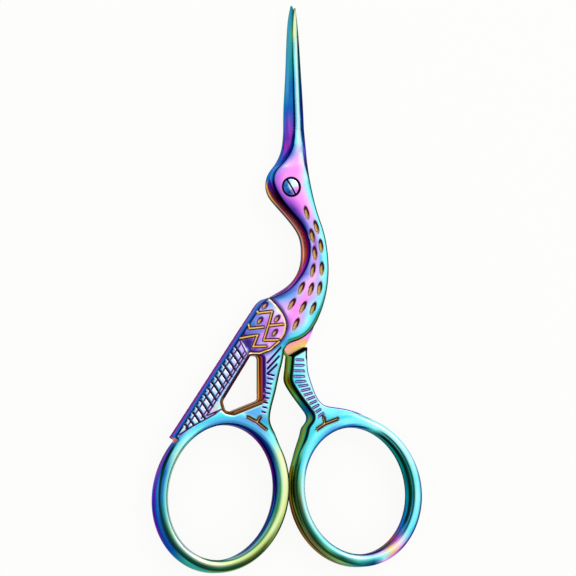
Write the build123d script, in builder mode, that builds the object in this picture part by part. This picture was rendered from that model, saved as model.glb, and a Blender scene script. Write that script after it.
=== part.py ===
from build123d import *
import math
import os

# Stork embroidery scissors lying flat and closed, in millimetres.
# X runs to the stork's back, Y to the blade tips and Z up from the surface they lie on.
# The origin is on that surface, on the axis of the pivot screw.

# The two halves lie on each other from the blades to the belly,
# and each has the full thickness in its own leg and finger ring.
full_thickness = 5.0
ride_gap = 0.05
layer_thickness = (full_thickness - ride_gap) / 2
upper_floor = full_thickness - layer_thickness

# Blades, measured from the pivot. The stork's beak is made of both.
blade_length = 37.2
blade_width = 3.4
tip_width = 0.22

# Head, neck and belly, measured from the pivot
head_height = 10.0
head_reach = 3.75
neck_reach = 8.25
neck_length = 33.15
rear_shift_x = -0.3
rear_shift_y = -0.4
body_clearance = 0.9

# Legs, measured from the fork below the belly, and the tail's step at the ring
leg_length = 12.8
leg_reach = 5.0
tail_step = 0.45
window_corner = 0.7
window_draft = 4.0

# Finger rings
left_hole_width = 23.2
left_hole_height = 27.7
left_ring_lean = 17.0
right_hole_width = 22.9
right_hole_height = 25.9
right_ring_lean = 12.5
ring_bar = 2.6
ring_thinning = 0.45
left_thin_angle = 155.0
right_thin_angle = 45.0
ring_round = 1.0
ring_gap = 0.7
ring_steps = 16
rings_meet_x = 0.34

# Pivot screw and its holes
screw_head_diameter = 3.4
screw_head_height = 0.9
screw_head_sink = 0.1
screw_dome = 0.14
head_clearance = 0.22
head_seat_gap = 0.04
screw_shank_diameter = 2.2
shank_clearance = 0.04
screw_chamfer = 0.12
slot_width = 0.36
slot_depth = 0.45
slot_angle = 122.0

# Decoration, pressed into both faces
dimple_length = 2.5
dimple_width = 0.92
dimple_depth = 0.4
feather_length = 1.6
feather_width = 0.85
feather_lean = -40.0
groove_width = 0.36
groove_depth = 0.3
bar_height = 0.42
rib_width = 0.34
rib_length = 2.3
rib_pitch = 1.48
rib_inset = 1.55
rib_angle = -47.0
rib_count = 14
tail_end_plain = 2.6

# One overrun for every cut that has to pass a face
overrun = 1.0


def blade_points(shares):
    return [(u * blade_width, v * blade_length) for u, v in shares]


def head_points(shares):
    return [(u * head_reach, v * head_height) for u, v in shares]


def neck_points(shares):
    return [(u * neck_reach, -v * neck_length) for u, v in shares]


def leg_points(shares):
    return [(u * leg_reach, -neck_length - v * leg_length) for u, v in shares]


def moved(points, dx, dy):
    return [(x + dx, y + dy) for x, y in points]


class FingerRing:
    """A leaning oval bar, thinner on its outer shoulder.

    Its top is leg_length below the fork and its inner side meets its twin.
    """

    def __init__(self, hole_width, hole_height, lean, thin_angle, side):
        self.across = (hole_width + ring_bar) / 2
        self.along = (hole_height + ring_bar) / 2
        self.lean = lean
        self.thin_angle = thin_angle
        turn = math.radians(lean)
        outer_across = self.across + ring_bar / 2
        outer_along = self.along + ring_bar / 2
        half_width = math.hypot(outer_across * math.cos(turn), outer_along * math.sin(turn))
        half_height = math.hypot(outer_across * math.sin(turn), outer_along * math.cos(turn))
        self.x = rings_meet_x + side * (ring_gap / 2 + half_width)
        self.y = -neck_length - leg_length - half_height

    def point(self, degrees, outward):
        """A point at an angle round the middle line of the bar, moved outward from it."""
        angle = math.radians(degrees)
        turn = math.radians(self.lean)
        across = (self.across + outward) * math.cos(angle)
        along = (self.along + outward) * math.sin(angle)
        dx = across * math.cos(turn) - along * math.sin(turn)
        dy = across * math.sin(turn) + along * math.cos(turn)
        return (self.x + dx, self.y + dy)

    def outer_point(self, degrees):
        """A point of the outer edge."""
        thinned = max(0, math.cos(math.radians(degrees - self.thin_angle))) ** 4
        return self.point(degrees, ring_bar / 2 - ring_thinning * thinned)

    def middle_line(self, start, end):
        """Four points along the middle line of the bar between two angles."""
        return [self.point(start + (end - start) * step / 3, 0) for step in range(4)]


left_ring = FingerRing(left_hole_width, left_hole_height, -left_ring_lean, left_thin_angle, -1)
right_ring = FingerRing(right_hole_width, right_hole_height, right_ring_lean, right_thin_angle, 1)

# The upper layer. Its left side runs from the tip down the cutting edge, round the head
# and down the throat to the upper corner of the wing.
front_tip_shares = (0.42, 0.987)
front_edge_shares = [(0.335, 0.87), (0.355, 0.72), (0.405, 0.52), (0.44, 0.37)]
head_shares = [(0.33, 0.985), (0.03, 0.7), (-0.51, 0.465), (-0.9, 0.3), (-1.0, 0.14), (-0.93, 0.02)]
throat_shares = [
    (-0.264, 0.065), (0.06, 0.158), (0.33, 0.235), (0.466, 0.31), (0.504, 0.388),
    (0.442, 0.468), (0.267, 0.546), (-0.097, 0.637),
]
# Its right side runs from the tip down the spine and the back of the neck to the fork
front_spine_shares = [(0.603, 0.91), (0.72, 0.78), (0.832, 0.605), (0.935, 0.43)]
nape_shares = [(0.905, 0.94), (0.98, 0.45)]
neck_back_shares = [(0.555, 0.012), (0.715, 0.158), (0.865, 0.262), (0.963, 0.375), (1.0, 0.5), (0.935, 0.65)]
belly_shares = [(0.73, 0.8), (0.475, 0.895), (0.16, 0.943), (-0.085, 0.97), (-0.17, 1.0)]

front_tip_left = blade_points([front_tip_shares])[0]
front_tip_right = (front_tip_left[0] + tip_width, front_tip_left[1])

# The wing's rounded edge, where the front half starts to have the full thickness
wing_edge_shares = [
    (-0.57, 0.684), (-0.39, 0.733), (-0.235, 0.783), (-0.155, 0.83), (-0.152, 0.887),
    (-0.185, 0.95), (-0.17, 1.0),
]
shoulder_shares = [(-0.7, 0.708), (-0.835, 0.75), (-0.97, 0.8), (-1.108, 0.8485)]
left_leg_shares = [
    (-0.35, 0.176), (-0.48, 0.368), (-0.592, 0.56), (-0.718, 0.753), (-0.85, 0.945), (-0.892, 1.043),
    (-0.892, 1.137), (-0.78, 1.254), (-0.62, 1.371),
]
tail_end_angle = 153.5
left_foot_angle = 48.0
wing_edge = neck_points(wing_edge_shares)
shoulder = neck_points(shoulder_shares)
tail_end = left_ring.point(tail_end_angle, ring_bar / 2 + tail_step)
left_foot = left_ring.outer_point(left_foot_angle)
window_shares = [(-1.72, 0.095), (-1.17, 0.095), (-1.17, 0.8), (-2.55, 1.05), (-2.85, 1.03), (-2.95, 0.863)]

front_left = [front_tip_left] + blade_points(front_edge_shares) + head_points(head_shares)
front_left += neck_points(throat_shares) + [wing_edge[0]]
front_right = [front_tip_right] + blade_points(front_spine_shares) + head_points(nape_shares)
front_right += neck_points(neck_back_shares + belly_shares)

# The lower layer has its spine on the left. Its head and throat stand out a little from the upper
# layer's, and its nape and neck are set back.
rear_tip_shares = (0.265, 1.0)
rear_spine_shares = [(0.144, 0.954), (0.038, 0.868), (-0.068, 0.605), (-0.168, 0.341), (-0.25, 0.194)]
rear_edge_shares = [(0.44, 0.86), (0.515, 0.605), (0.56, 0.33)]
rear_head_shares = [(-0.552, 0.466), (-0.877, 0.3), (-1.04, 0.135), (-1.045, -0.028)]
rear_throat_shares = [
    (-0.399, 0.0573), (-0.24, 0.105), (0.13, 0.2015), (0.396, 0.298), (0.457, 0.396),
    (0.399, 0.495), (0.119, 0.595), (-0.198, 0.646),
]
hip_shares = [(0.81, 0.775), (0.657, 0.882), (0.547, 0.9415), (0.441, 0.9964)]
right_leg_left_shares = [
    (0.08, 0.082), (0.048, 0.227), (0.01, 0.355), (0.0, 0.47), (0.17, 0.607), (0.38, 0.72),
    (0.66, 0.857), (0.884, 0.966), (0.972, 1.029), (0.972, 1.093), (0.87, 1.158), (0.754, 1.223),
    (0.7, 1.3), (0.58, 1.45), (0.43, 1.6),
]
right_leg_right_shares = [
    (0.73, -0.058), (0.72, 0.118), (0.73, 0.245), (0.78, 0.372), (0.885, 0.5), (1.0, 0.625),
    (1.16, 0.75), (1.42, 0.853), (1.7, 0.884), (2.22, 0.907), (2.74, 0.95), (3.1, 0.995),
]
right_foot_angle = 150.0
right_top_angle = 62.0
rear_tip_left = blade_points([rear_tip_shares])[0]
rear_tip_right = (rear_tip_left[0] + tip_width, rear_tip_left[1])
rear_wing_edge = moved(wing_edge, body_clearance, 0)
leg_left = leg_points(right_leg_left_shares)
leg_right = leg_points(right_leg_right_shares)

rear_left = [rear_tip_left] + blade_points(rear_spine_shares)
rear_left += head_points(rear_head_shares) + neck_points(rear_throat_shares) + [rear_wing_edge[0]]
rear_right = [rear_tip_right] + blade_points(rear_edge_shares)
rear_right += moved(head_points(nape_shares) + neck_points(neck_back_shares), rear_shift_x, rear_shift_y)
rear_right += neck_points(hip_shares) + [leg_right[1]]

# Facets of the blades, section by section from beyond the tip to the head. Each row has the place
# along the blade, the places of cutting edge, ridge and spine across it, and their three heights.
front_facet_shares = [
    (1.03, 0.41, 0.45, 0.5, 0.03, 0.22, 0.1),
    (0.87, 0.335, 0.505, 0.64, 0.05, 0.4, 0.18),
    (0.61, 0.38, 0.56, 0.83, 0.08, 0.57, 0.3),
    (0.32, 0.44, 0.65, 0.985, 0.13, 0.73, 0.45),
    (0.2, 0.09, 0.765, 1.03, 0.6, 0.9, 0.85),
    (0.1, -0.85, 1.01, 1.09, 1.02, 1.04, 1.03),
]
rear_facet_shares = [
    (1.03, 0.35, 0.3, 0.24, 0.03, 0.22, 0.12),
    (0.87, 0.44, 0.22, 0.04, 0.05, 0.4, 0.2),
    (0.61, 0.515, 0.2, -0.068, 0.08, 0.57, 0.3),
    (0.32, 0.56, 0.15, -0.17, 0.13, 0.73, 0.42),
    (0.2, 0.9, -0.05, -0.25, 0.6, 0.9, 0.78),
    (0.1, 1.0, -0.5, -0.9, 1.02, 1.04, 1.03),
]
facet_reach = head_reach + overrun


def facet_outline(row, base, up):
    """One section of the space above a blade. up is 1 for the front blade and -1 for the rear one."""
    across = [share * blade_width for share in row[1:4]]
    heights = [base + up * share * layer_thickness for share in row[4:7]]
    roof = base + up * (layer_thickness + overrun)
    outline = [(-up * facet_reach, roof), (-up * facet_reach, heights[0])]
    outline += list(zip(across, heights))
    outline += [(up * facet_reach + overrun, heights[2]), (up * facet_reach + overrun, roof)]
    return outline


def facet_plane(row):
    return Plane(origin=(0, row[0] * blade_length, 0), x_dir=(1, 0, 0), z_dir=(0, -1, 0))


# Decoration of the neck, the wing, the tail and the legs
dimple_shares = [
    (0.4, 0.157), (0.657, 0.2425), (0.547, 0.296), (0.778, 0.358), (0.615, 0.403), (0.8, 0.497),
    (0.562, 0.51), (0.742, 0.619), (0.514, 0.626), (0.26, 0.62), (0.007, 0.72), (0.3, 0.738),
    (0.57, 0.743), (0.116, 0.843),
]
dimple_leans = [14, 16, 12, 6, 5, -3, -13, -12, -19, -27, -34, -30, -24, -27]
feather_shares = [(-0.827, 0.826), (-0.381, 0.8115), (-0.439, 0.8977)]
wing_groove_shares = [
    [(-0.885, 0.765), (-0.86, 0.779), (-0.5, 0.7665), (-0.607, 0.856), (-0.23, 0.844)],
    [(-0.607, 0.856), (-0.726, 0.945), (-0.33, 0.94)],
    [(-1.114, 0.8455), (-1.096, 0.875), (-0.735, 0.8645)],
    [(-1.333, 0.935), (-0.885, 0.914), (-1.004, 0.9855), (-0.665, 0.9816)],
    [(-0.314, 0.95), (-0.55, 0.999), (-0.818, 1.024), (-1.087, 1.025)],
]
left_leg_groove_shares = [
    [(-1.046, 0.216), (-0.462, -0.033)],
    [(-1.032, 0.307), (-0.544, 0.109)],
    [(-1.046, 0.388), (-0.64, 0.242)],
    [(-1.874, 1.081), (-1.49, 1.154), (-1.098, 1.267)],
    [(-1.49, 1.154), (-1.35, 1.076)],
]
right_leg_groove_shares = [
    [(1.12, 1.248), (1.454, 1.16), (2.008, 1.08)],
    [(1.454, 1.16), (1.41, 1.059)],
]


def bar_row(first_shares, last_shares, length_shares, tilts, count):
    """Evenly spaced bars between two places, as centre, length and tilt."""
    rows = []
    for index in range(count):
        t = index / (count - 1)
        spot_shares = [a + (b - a) * t for a, b in zip(first_shares, last_shares)]
        length = (length_shares[0] + (length_shares[1] - length_shares[0]) * t) * leg_reach
        tilt = tilts[0] + (tilts[1] - tilts[0]) * t
        rows.append((leg_points([spot_shares])[0], length, tilt))
    return rows


left_leg_bars = bar_row((-0.92, 0.469), (-1.2, 0.998), (0.28, 0.24), (-10, -10), 8)
right_leg_bars = bar_row((0.36, 0.155), (0.34, 0.416), (0.36, 0.5), (0, 0), 4)
right_leg_bars += bar_row((0.4, 0.498), (1.3, 1.016), (0.46, 0.28), (5, 35), 9)

tail_start = shoulder[-1]
tail_run = math.dist(tail_start, tail_end)
tail_along = ((tail_end[0] - tail_start[0]) / tail_run, (tail_end[1] - tail_start[1]) / tail_run)
tail_ribs = []
for index in range(rib_count):
    along = tail_run - tail_end_plain - rib_pitch * (rib_count - 1 - index)
    x = tail_start[0] + tail_along[0] * along - tail_along[1] * rib_inset
    y = tail_start[1] + tail_along[1] * along + tail_along[0] * rib_inset
    tail_ribs.append((x, y))


def draw_bars(bars):
    """Short bars, for the sketch that is open."""
    for spot, length, tilt in bars:
        with Locations(Location((spot[0], spot[1], 0), (0, 0, tilt))):
            Rectangle(length, bar_height)


with BuildSketch() as dimple_sketch:
    for spot, lean in zip(neck_points(dimple_shares), dimple_leans):
        with Locations(Location((spot[0], spot[1], 0), (0, 0, lean))):
            Ellipse(dimple_width / 2, dimple_length / 2)

with BuildSketch() as wing_sketch:
    for shares in wing_groove_shares:
        with BuildLine():
            Polyline(*neck_points(shares))
        trace(line_width=groove_width)
    for spot in neck_points(feather_shares):
        with Locations(Location((spot[0], spot[1], 0), (0, 0, feather_lean))):
            Ellipse(feather_width / 2, feather_length / 2)

with BuildSketch() as left_leg_sketch:
    for shares in left_leg_groove_shares:
        with BuildLine():
            Polyline(*leg_points(shares))
        trace(line_width=groove_width)
    draw_bars(left_leg_bars)

with BuildSketch() as tail_sketch:
    for spot in tail_ribs:
        with Locations(Location((spot[0], spot[1], 0), (0, 0, rib_angle))):
            Rectangle(rib_length, rib_width)

with BuildSketch() as right_leg_sketch:
    for shares in right_leg_groove_shares:
        with BuildLine():
            Polyline(*leg_points(shares))
        trace(line_width=groove_width)
    draw_bars(right_leg_bars)


def press(sketch, depth, face):
    """Cut a decoration into the top or the bottom face of the part that is open."""
    start = full_thickness - depth if face == "top" else -overrun
    extrude(sketch.sketch.moved(Location((0, 0, start))), amount=depth + overrun, mode=Mode.SUBTRACT)


def ring_face(ring):
    with BuildSketch() as face:
        with BuildLine():
            Spline(*[ring.outer_point(360 * step / ring_steps) for step in range(ring_steps)], periodic=True)
        make_face()
        with Locations(Location((ring.x, ring.y, 0), (0, 0, ring.lean))):
            Ellipse(ring.across - ring_bar / 2, ring.along - ring_bar / 2, mode=Mode.SUBTRACT)
    return face.sketch


with BuildPart() as front_half:
    extrude(ring_face(left_ring), amount=full_thickness)
    fillet(edges().group_by(Axis.Z)[0] + edges().group_by(Axis.Z)[-1], ring_round)

    # Wing, tail and left leg
    with BuildSketch():
        with BuildLine():
            Spline(*wing_edge)
            Spline(wing_edge[-1], *leg_points(left_leg_shares), left_foot)
            Line(left_foot, left_ring.point(left_foot_angle, 0))
            Spline(*left_ring.middle_line(left_foot_angle, tail_end_angle))
            Line(left_ring.point(tail_end_angle, 0), tail_end)
            Line(tail_end, shoulder[-1])
            Spline(wing_edge[0], *shoulder)
        make_face()
    extrude(amount=full_thickness)

    # Window between the tail and the leg, a little narrower below
    with BuildSketch(Plane.XY.offset(full_thickness)):
        with BuildLine():
            Polyline(*leg_points(window_shares), close=True)
        make_face()
        fillet(vertices(), window_corner)
    extrude(amount=-full_thickness - overrun, taper=window_draft, mode=Mode.SUBTRACT)

    # Blade, head, neck and body
    with BuildSketch(Plane.XY.offset(upper_floor)):
        with BuildLine():
            Spline(*front_left)
            Line(wing_edge[0], wing_edge[-1])
            Spline(*front_right)
            Line(front_tip_right, front_tip_left)
        make_face()
    extrude(amount=layer_thickness)

    # Facets of the blade
    for row in front_facet_shares:
        with BuildSketch(facet_plane(row)):
            with BuildLine():
                Polyline(*facet_outline(row, upper_floor, 1), close=True)
            make_face()
    loft(ruled=True, mode=Mode.SUBTRACT)

    # Screw hole with a recess for the head
    with Locations((0, 0, full_thickness)):
        CounterBoreHole(
            screw_shank_diameter / 2 + shank_clearance,
            screw_head_diameter / 2 + head_clearance,
            screw_head_height + screw_head_sink,
        )

    press(dimple_sketch, dimple_depth, "top")
    for side in ("top", "bottom"):
        press(wing_sketch, groove_depth, side)
        press(tail_sketch, groove_depth, side)
        press(left_leg_sketch, groove_depth, side)

front_half.part.label = "front_half"

with BuildPart() as back_half:
    extrude(ring_face(right_ring), amount=full_thickness)
    fillet(edges().group_by(Axis.Z)[0] + edges().group_by(Axis.Z)[-1], ring_round)

    # Right leg
    with BuildSketch():
        with BuildLine():
            Spline(*leg_left, right_ring.outer_point(right_foot_angle))
            Line(right_ring.outer_point(right_foot_angle), right_ring.point(right_foot_angle, 0))
            Spline(*right_ring.middle_line(right_foot_angle, right_top_angle))
            Line(right_ring.point(right_top_angle, 0), right_ring.outer_point(right_top_angle))
            Spline(*leg_right, right_ring.outer_point(right_top_angle))
            Line(leg_left[0], leg_right[0])
        make_face()
    extrude(amount=full_thickness)

    # Blade, head, neck and body
    with BuildSketch():
        with BuildLine():
            Spline(*rear_left)
            Spline(*rear_wing_edge, leg_left[0])
            Line(leg_left[0], leg_right[1])
            Spline(*rear_right)
            Line(rear_tip_right, rear_tip_left)
        make_face()
    extrude(amount=layer_thickness)

    # Facets of the blade
    for row in rear_facet_shares:
        with BuildSketch(facet_plane(row)):
            with BuildLine():
                Polyline(*facet_outline(row, layer_thickness, -1), close=True)
            make_face()
    loft(ruled=True, mode=Mode.SUBTRACT)

    # Screw hole
    with BuildSketch():
        Circle(screw_shank_diameter / 2)
    extrude(amount=layer_thickness, mode=Mode.SUBTRACT)

    press(dimple_sketch, dimple_depth, "bottom")
    for side in ("top", "bottom"):
        press(right_leg_sketch, groove_depth, side)

back_half.part.label = "back_half"

# Pivot screw, a turned piece with a slightly domed and slotted head
head_top = full_thickness - screw_head_sink
head_seat = head_top - screw_head_height + head_seat_gap
head_radius = screw_head_diameter / 2
shank_radius = screw_shank_diameter / 2

with BuildPart() as pivot_screw:
    with BuildSketch(Plane.XZ):
        with BuildLine():
            Line((0, 0), (0, head_top + screw_dome))
            dome_sag = screw_dome / 4
            ThreePointArc(
                (0, head_top + screw_dome),
                (head_radius / 2, head_top + screw_dome - dome_sag),
                (head_radius, head_top),
            )
            Polyline(
                (head_radius, head_top),
                (head_radius, head_seat),
                (shank_radius, head_seat),
                (shank_radius, screw_chamfer),
                (shank_radius - screw_chamfer, 0),
                (0, 0),
            )
        make_face()
    revolve(axis=Axis.Z)
    with BuildSketch(Plane.XY.offset(head_top - slot_depth)):
        Rectangle(screw_head_diameter + overrun, slot_width, rotation=slot_angle)
    extrude(amount=slot_depth + overrun, mode=Mode.SUBTRACT)

pivot_screw.part.label = "pivot_screw"

os.makedirs("parts", exist_ok=True)
export_step(front_half.part, "parts/front_half.step")
export_step(back_half.part, "parts/back_half.step")
export_step(pivot_screw.part, "parts/pivot_screw.step")

for piece in (front_half, back_half, pivot_screw):
    box = piece.part.bounding_box()
    print(piece.part.label, len(piece.part.solids()), "solid", piece.part.is_valid)
    print("  from", [round(v, 2) for v in box.min], "to", [round(v, 2) for v in box.max])
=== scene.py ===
# %% [markdown]
# Stork embroidery scissors with a rainbow coating, lying flat and closed.
# Each half of the real thing is one small steel forging: a beak blade, a head, a neck,
# and below that a wing, a tail, a leg and a finger ring. A slotted screw joins the halves.
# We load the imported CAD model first, because its box and its nodes are the frame for all that follows.

# %% Load the frame
import math
import bpy
import numpy as np
from mathutils import Matrix, Vector
from mathutils.geometry import delaunay_2d_cdt
from mathutils.kdtree import KDTree


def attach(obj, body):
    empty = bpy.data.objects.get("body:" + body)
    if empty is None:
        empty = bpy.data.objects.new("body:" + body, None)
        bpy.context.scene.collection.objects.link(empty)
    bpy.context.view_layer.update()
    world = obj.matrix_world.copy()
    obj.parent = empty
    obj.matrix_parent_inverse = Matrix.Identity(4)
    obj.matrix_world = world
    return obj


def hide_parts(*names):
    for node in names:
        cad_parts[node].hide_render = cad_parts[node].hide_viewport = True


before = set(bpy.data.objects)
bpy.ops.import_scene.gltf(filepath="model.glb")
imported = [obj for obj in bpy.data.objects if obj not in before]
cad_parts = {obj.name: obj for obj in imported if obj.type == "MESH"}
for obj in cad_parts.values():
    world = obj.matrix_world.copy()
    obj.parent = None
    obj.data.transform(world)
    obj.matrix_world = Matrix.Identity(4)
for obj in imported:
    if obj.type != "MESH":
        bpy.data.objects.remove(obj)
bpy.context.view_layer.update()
print("nodes", sorted(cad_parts))

# %% [markdown]
# All sizes are in millimetres, as a maker would write them, and are turned into metres once, at the end.
# X runs to the stork's back, Y to the blade tips and Z up. The origin is below the pivot screw.

# %% Sizes of the halves
MM = 0.001
full_thickness = 5.0
ride_gap = 0.05
layer_thickness = (full_thickness - ride_gap) / 2
upper_floor = full_thickness - layer_thickness
blade_length = 37.2
blade_width = 3.4
tip_width = 0.22
head_height = 10.0
head_reach = 3.75
neck_reach = 8.25
neck_length = 33.15
rear_shift = (-0.3, -0.4)
body_clearance = 0.9
leg_length = 12.8
leg_reach = 5.0
tail_step = 0.45
window_corner = 0.7
ring_bar = 2.6
ring_thinning = 0.45
ring_gap = 0.7
rings_meet_x = 0.34
ring_polish = 0.01
object_length = 115.7


def blade_points(shares):
    return [(u * blade_width, v * blade_length) for u, v in shares]


def head_points(shares):
    return [(u * head_reach, v * head_height) for u, v in shares]


def neck_points(shares):
    return [(u * neck_reach, -v * neck_length) for u, v in shares]


def leg_points(shares):
    return [(u * leg_reach, -neck_length - v * leg_length) for u, v in shares]


def moved(points, shift):
    return [(x + shift[0], y + shift[1]) for x, y in points]


# %% [markdown]
# A finger ring is a leaning oval bar. It is a rule, so it is a small class that gives any point
# of the oval from an angle, and for any point of the drawing its angle and its distance from the
# bar's middle.

# %% Finger rings
class FingerRing:
    """A leaning oval bar, a little thinner at one place of its outer edge."""

    def __init__(self, hole_width, hole_height, lean, thin_angle, side):
        self.across = (hole_width + ring_bar) / 2
        self.along = (hole_height + ring_bar) / 2
        self.turn = math.radians(lean)
        self.thin_angle = thin_angle
        wide = self.across + ring_bar / 2
        high = self.along + ring_bar / 2
        half_width = math.hypot(wide * math.cos(self.turn), high * math.sin(self.turn))
        half_height = math.hypot(wide * math.sin(self.turn), high * math.cos(self.turn))
        self.x = rings_meet_x + side * (ring_gap / 2 + half_width)
        self.y = -neck_length - leg_length - half_height

    def point(self, degrees, outward):
        angle = math.radians(degrees)
        across = (self.across + outward) * math.cos(angle)
        along = (self.along + outward) * math.sin(angle)
        dx = across * math.cos(self.turn) - along * math.sin(self.turn)
        dy = across * math.sin(self.turn) + along * math.cos(self.turn)
        return (self.x + dx, self.y + dy)

    def outer_point(self, degrees):
        thinned = max(0, math.cos(math.radians(degrees - self.thin_angle))) ** 4
        return self.point(degrees, ring_bar / 2 - ring_polish - ring_thinning * thinned)

    def locate(self, points):
        """Angle round the ring in degrees and distance outward from the bar's middle, for many points."""
        dx = points[:, 0] - self.x
        dy = points[:, 1] - self.y
        u = (dx * math.cos(self.turn) + dy * math.sin(self.turn)) / self.across
        v = (dy * math.cos(self.turn) - dx * math.sin(self.turn)) / self.along
        reach = np.maximum(np.hypot(u, v), 1e-6)
        steepness = np.hypot(u / self.across, v / self.along) / reach
        return np.degrees(np.arctan2(v, u)) % 360, (reach - 1) / steepness


left_ring = FingerRing(23.2, 27.7, -17.0, 155.0, -1)
right_ring = FingerRing(22.9, 25.9, 12.5, 45.0, 1)
for ring in (left_ring, right_ring):
    print("ring centre", round(ring.x, 2), round(ring.y, 2))

# %% [markdown]
# The outlines of the two halves. A forging's edge is a smooth curve through a few places, so each
# stretch is a short list of places, as shares of the blade, the head, the neck or the leg,
# and a cubic spline runs through them.

# %% Outline places of the upper half
front_tip_shares = (0.42, 0.987)
front_edge_shares = [(0.335, 0.87), (0.355, 0.72), (0.405, 0.52), (0.44, 0.37)]
head_shares = [(0.33, 0.985), (0.03, 0.7), (-0.51, 0.465), (-0.9, 0.3), (-1.0, 0.14), (-0.93, 0.02)]
throat_shares = [
    (-0.264, 0.065), (0.06, 0.158), (0.33, 0.235), (0.466, 0.31), (0.504, 0.388),
    (0.442, 0.468), (0.267, 0.546), (-0.097, 0.637),
]
front_spine_shares = [(0.603, 0.91), (0.72, 0.78), (0.832, 0.605), (0.935, 0.43)]
nape_shares = [(0.905, 0.94), (0.98, 0.45)]
neck_back_shares = [(0.555, 0.012), (0.715, 0.158), (0.865, 0.262), (0.963, 0.375), (1.0, 0.5), (0.935, 0.65)]
belly_shares = [(0.73, 0.8), (0.475, 0.895), (0.16, 0.943), (-0.085, 0.97), (-0.17, 1.0)]
wing_edge_shares = [
    (-0.57, 0.684), (-0.39, 0.733), (-0.235, 0.783), (-0.155, 0.83), (-0.152, 0.887),
    (-0.185, 0.95), (-0.17, 1.0),
]
shoulder_shares = [(-0.7, 0.708), (-0.835, 0.75), (-0.97, 0.8), (-1.108, 0.8485)]
left_leg_shares = [
    (-0.35, 0.176), (-0.48, 0.368), (-0.592, 0.56), (-0.718, 0.753), (-0.85, 0.945), (-0.892, 1.043),
    (-0.892, 1.137), (-0.78, 1.254), (-0.62, 1.371),
]
window_shares = [(-1.72, 0.095), (-1.17, 0.095), (-1.17, 0.79), (-2.52, 1.0), (-2.83, 0.98), (-2.94, 0.84)]
tail_end_angle = 153.5
left_foot_angle = 48.0

# %% Outline places of the lower half
rear_tip_shares = (0.265, 1.0)
rear_spine_shares = [(0.144, 0.954), (0.038, 0.868), (-0.068, 0.605), (-0.168, 0.341), (-0.25, 0.194)]
rear_edge_shares = [(0.42, 0.975), (0.46, 0.86), (0.515, 0.605), (0.54, 0.46), (0.57, 0.33)]
rear_head_shares = [(-0.552, 0.466), (-0.877, 0.3), (-1.04, 0.135), (-1.045, -0.028)]
rear_throat_shares = [
    (-0.399, 0.0573), (-0.24, 0.105), (0.13, 0.2015), (0.396, 0.298), (0.457, 0.396),
    (0.399, 0.495), (0.119, 0.595), (-0.198, 0.646),
]
hip_shares = [(0.81, 0.775), (0.657, 0.882), (0.547, 0.9415), (0.441, 0.9964)]
right_leg_left_shares = [
    (0.08, 0.082), (0.048, 0.227), (0.01, 0.355), (0.0, 0.47), (0.17, 0.607), (0.38, 0.72),
    (0.66, 0.857), (0.884, 0.966), (0.972, 1.029), (0.972, 1.093), (0.87, 1.158), (0.754, 1.223),
    (0.7, 1.3), (0.58, 1.45), (0.43, 1.6),
]
right_leg_right_shares = [
    (0.73, -0.058), (0.72, 0.118), (0.73, 0.245), (0.78, 0.372), (0.885, 0.5), (1.0, 0.625),
    (1.16, 0.75), (1.42, 0.853), (1.7, 0.884), (2.22, 0.907), (2.74, 0.95), (3.1, 0.995),
]
right_foot_angle = 150.0
right_top_angle = 62.0


# %% Splines and arcs as evenly spaced places
sample_step = 0.3


def second_slopes(places, travel):
    """The bend of a natural cubic spline at each of its places."""
    gaps = np.diff(travel)
    system = np.eye(len(places))
    target = np.zeros((len(places), 2))
    for i in range(1, len(places) - 1):
        system[i, i - 1:i + 2] = gaps[i - 1], 2 * (gaps[i - 1] + gaps[i]), gaps[i]
        target[i] = 6 * ((places[i + 1] - places[i]) / gaps[i] - (places[i] - places[i - 1]) / gaps[i - 1])
    return np.linalg.solve(system, target)


def evenly(line, step):
    """A fine polyline cut again into even steps."""
    travel = np.concatenate([[0], np.cumsum(np.hypot(*np.diff(line, axis=0).T))])
    count = max(1, round(travel[-1] / step))
    stops = np.linspace(0, travel[-1], count + 1)
    return np.column_stack([np.interp(stops, travel, line[:, 0]), np.interp(stops, travel, line[:, 1])])


def smooth(points, step=sample_step):
    """An even row of places on the spline through the given ones."""
    places = np.array(points, float)
    travel = np.concatenate([[0], np.cumsum(np.hypot(*np.diff(places, axis=0).T))])
    bend = second_slopes(places, travel)
    fine = np.linspace(0, travel[-1], 60 * len(places))
    k = np.clip(np.searchsorted(travel, fine, side="right") - 1, 0, len(places) - 2)
    gap = np.diff(travel)[k][:, None]
    a = (travel[k + 1] - fine)[:, None] / gap
    b = 1 - a
    line = a * places[k] + b * places[k + 1]
    line += ((a ** 3 - a) * bend[k] + (b ** 3 - b) * bend[k + 1]) * gap ** 2 / 6
    return evenly(line, step)


def straight(points, step=sample_step):
    return evenly(np.array(points, float), step)


def arc_of(place, start, end, step=sample_step):
    """An even row of places of a rule that gives a place from an angle."""
    fine = [place(angle) for angle in np.linspace(start, end, 400)]
    return evenly(np.array(fine), step)


def joined(*rows):
    """One closed loop from rows whose ends meet, running counterclockwise."""
    loop = np.vstack([row[:-1] for row in rows])
    x, y = loop.T
    area = np.sum(x * np.roll(y, -1) - y * np.roll(x, -1))
    return loop if area > 0 else loop[::-1]


# %% Edges of the upper half
front_tip = blade_points([front_tip_shares])[0]
front_tip_right = (front_tip[0] + tip_width, front_tip[1])
wing_places = neck_points(wing_edge_shares)
shoulder_places = neck_points(shoulder_shares)
tail_end = left_ring.point(tail_end_angle, ring_bar / 2 + tail_step)
left_foot = left_ring.outer_point(left_foot_angle)
front_left_places = [front_tip] + blade_points(front_edge_shares) + head_points(head_shares)
front_left_places += neck_points(throat_shares) + [wing_places[0]]
front_right_places = [front_tip_right] + blade_points(front_spine_shares) + head_points(nape_shares)
front_right_places += neck_points(neck_back_shares + belly_shares)

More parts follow.
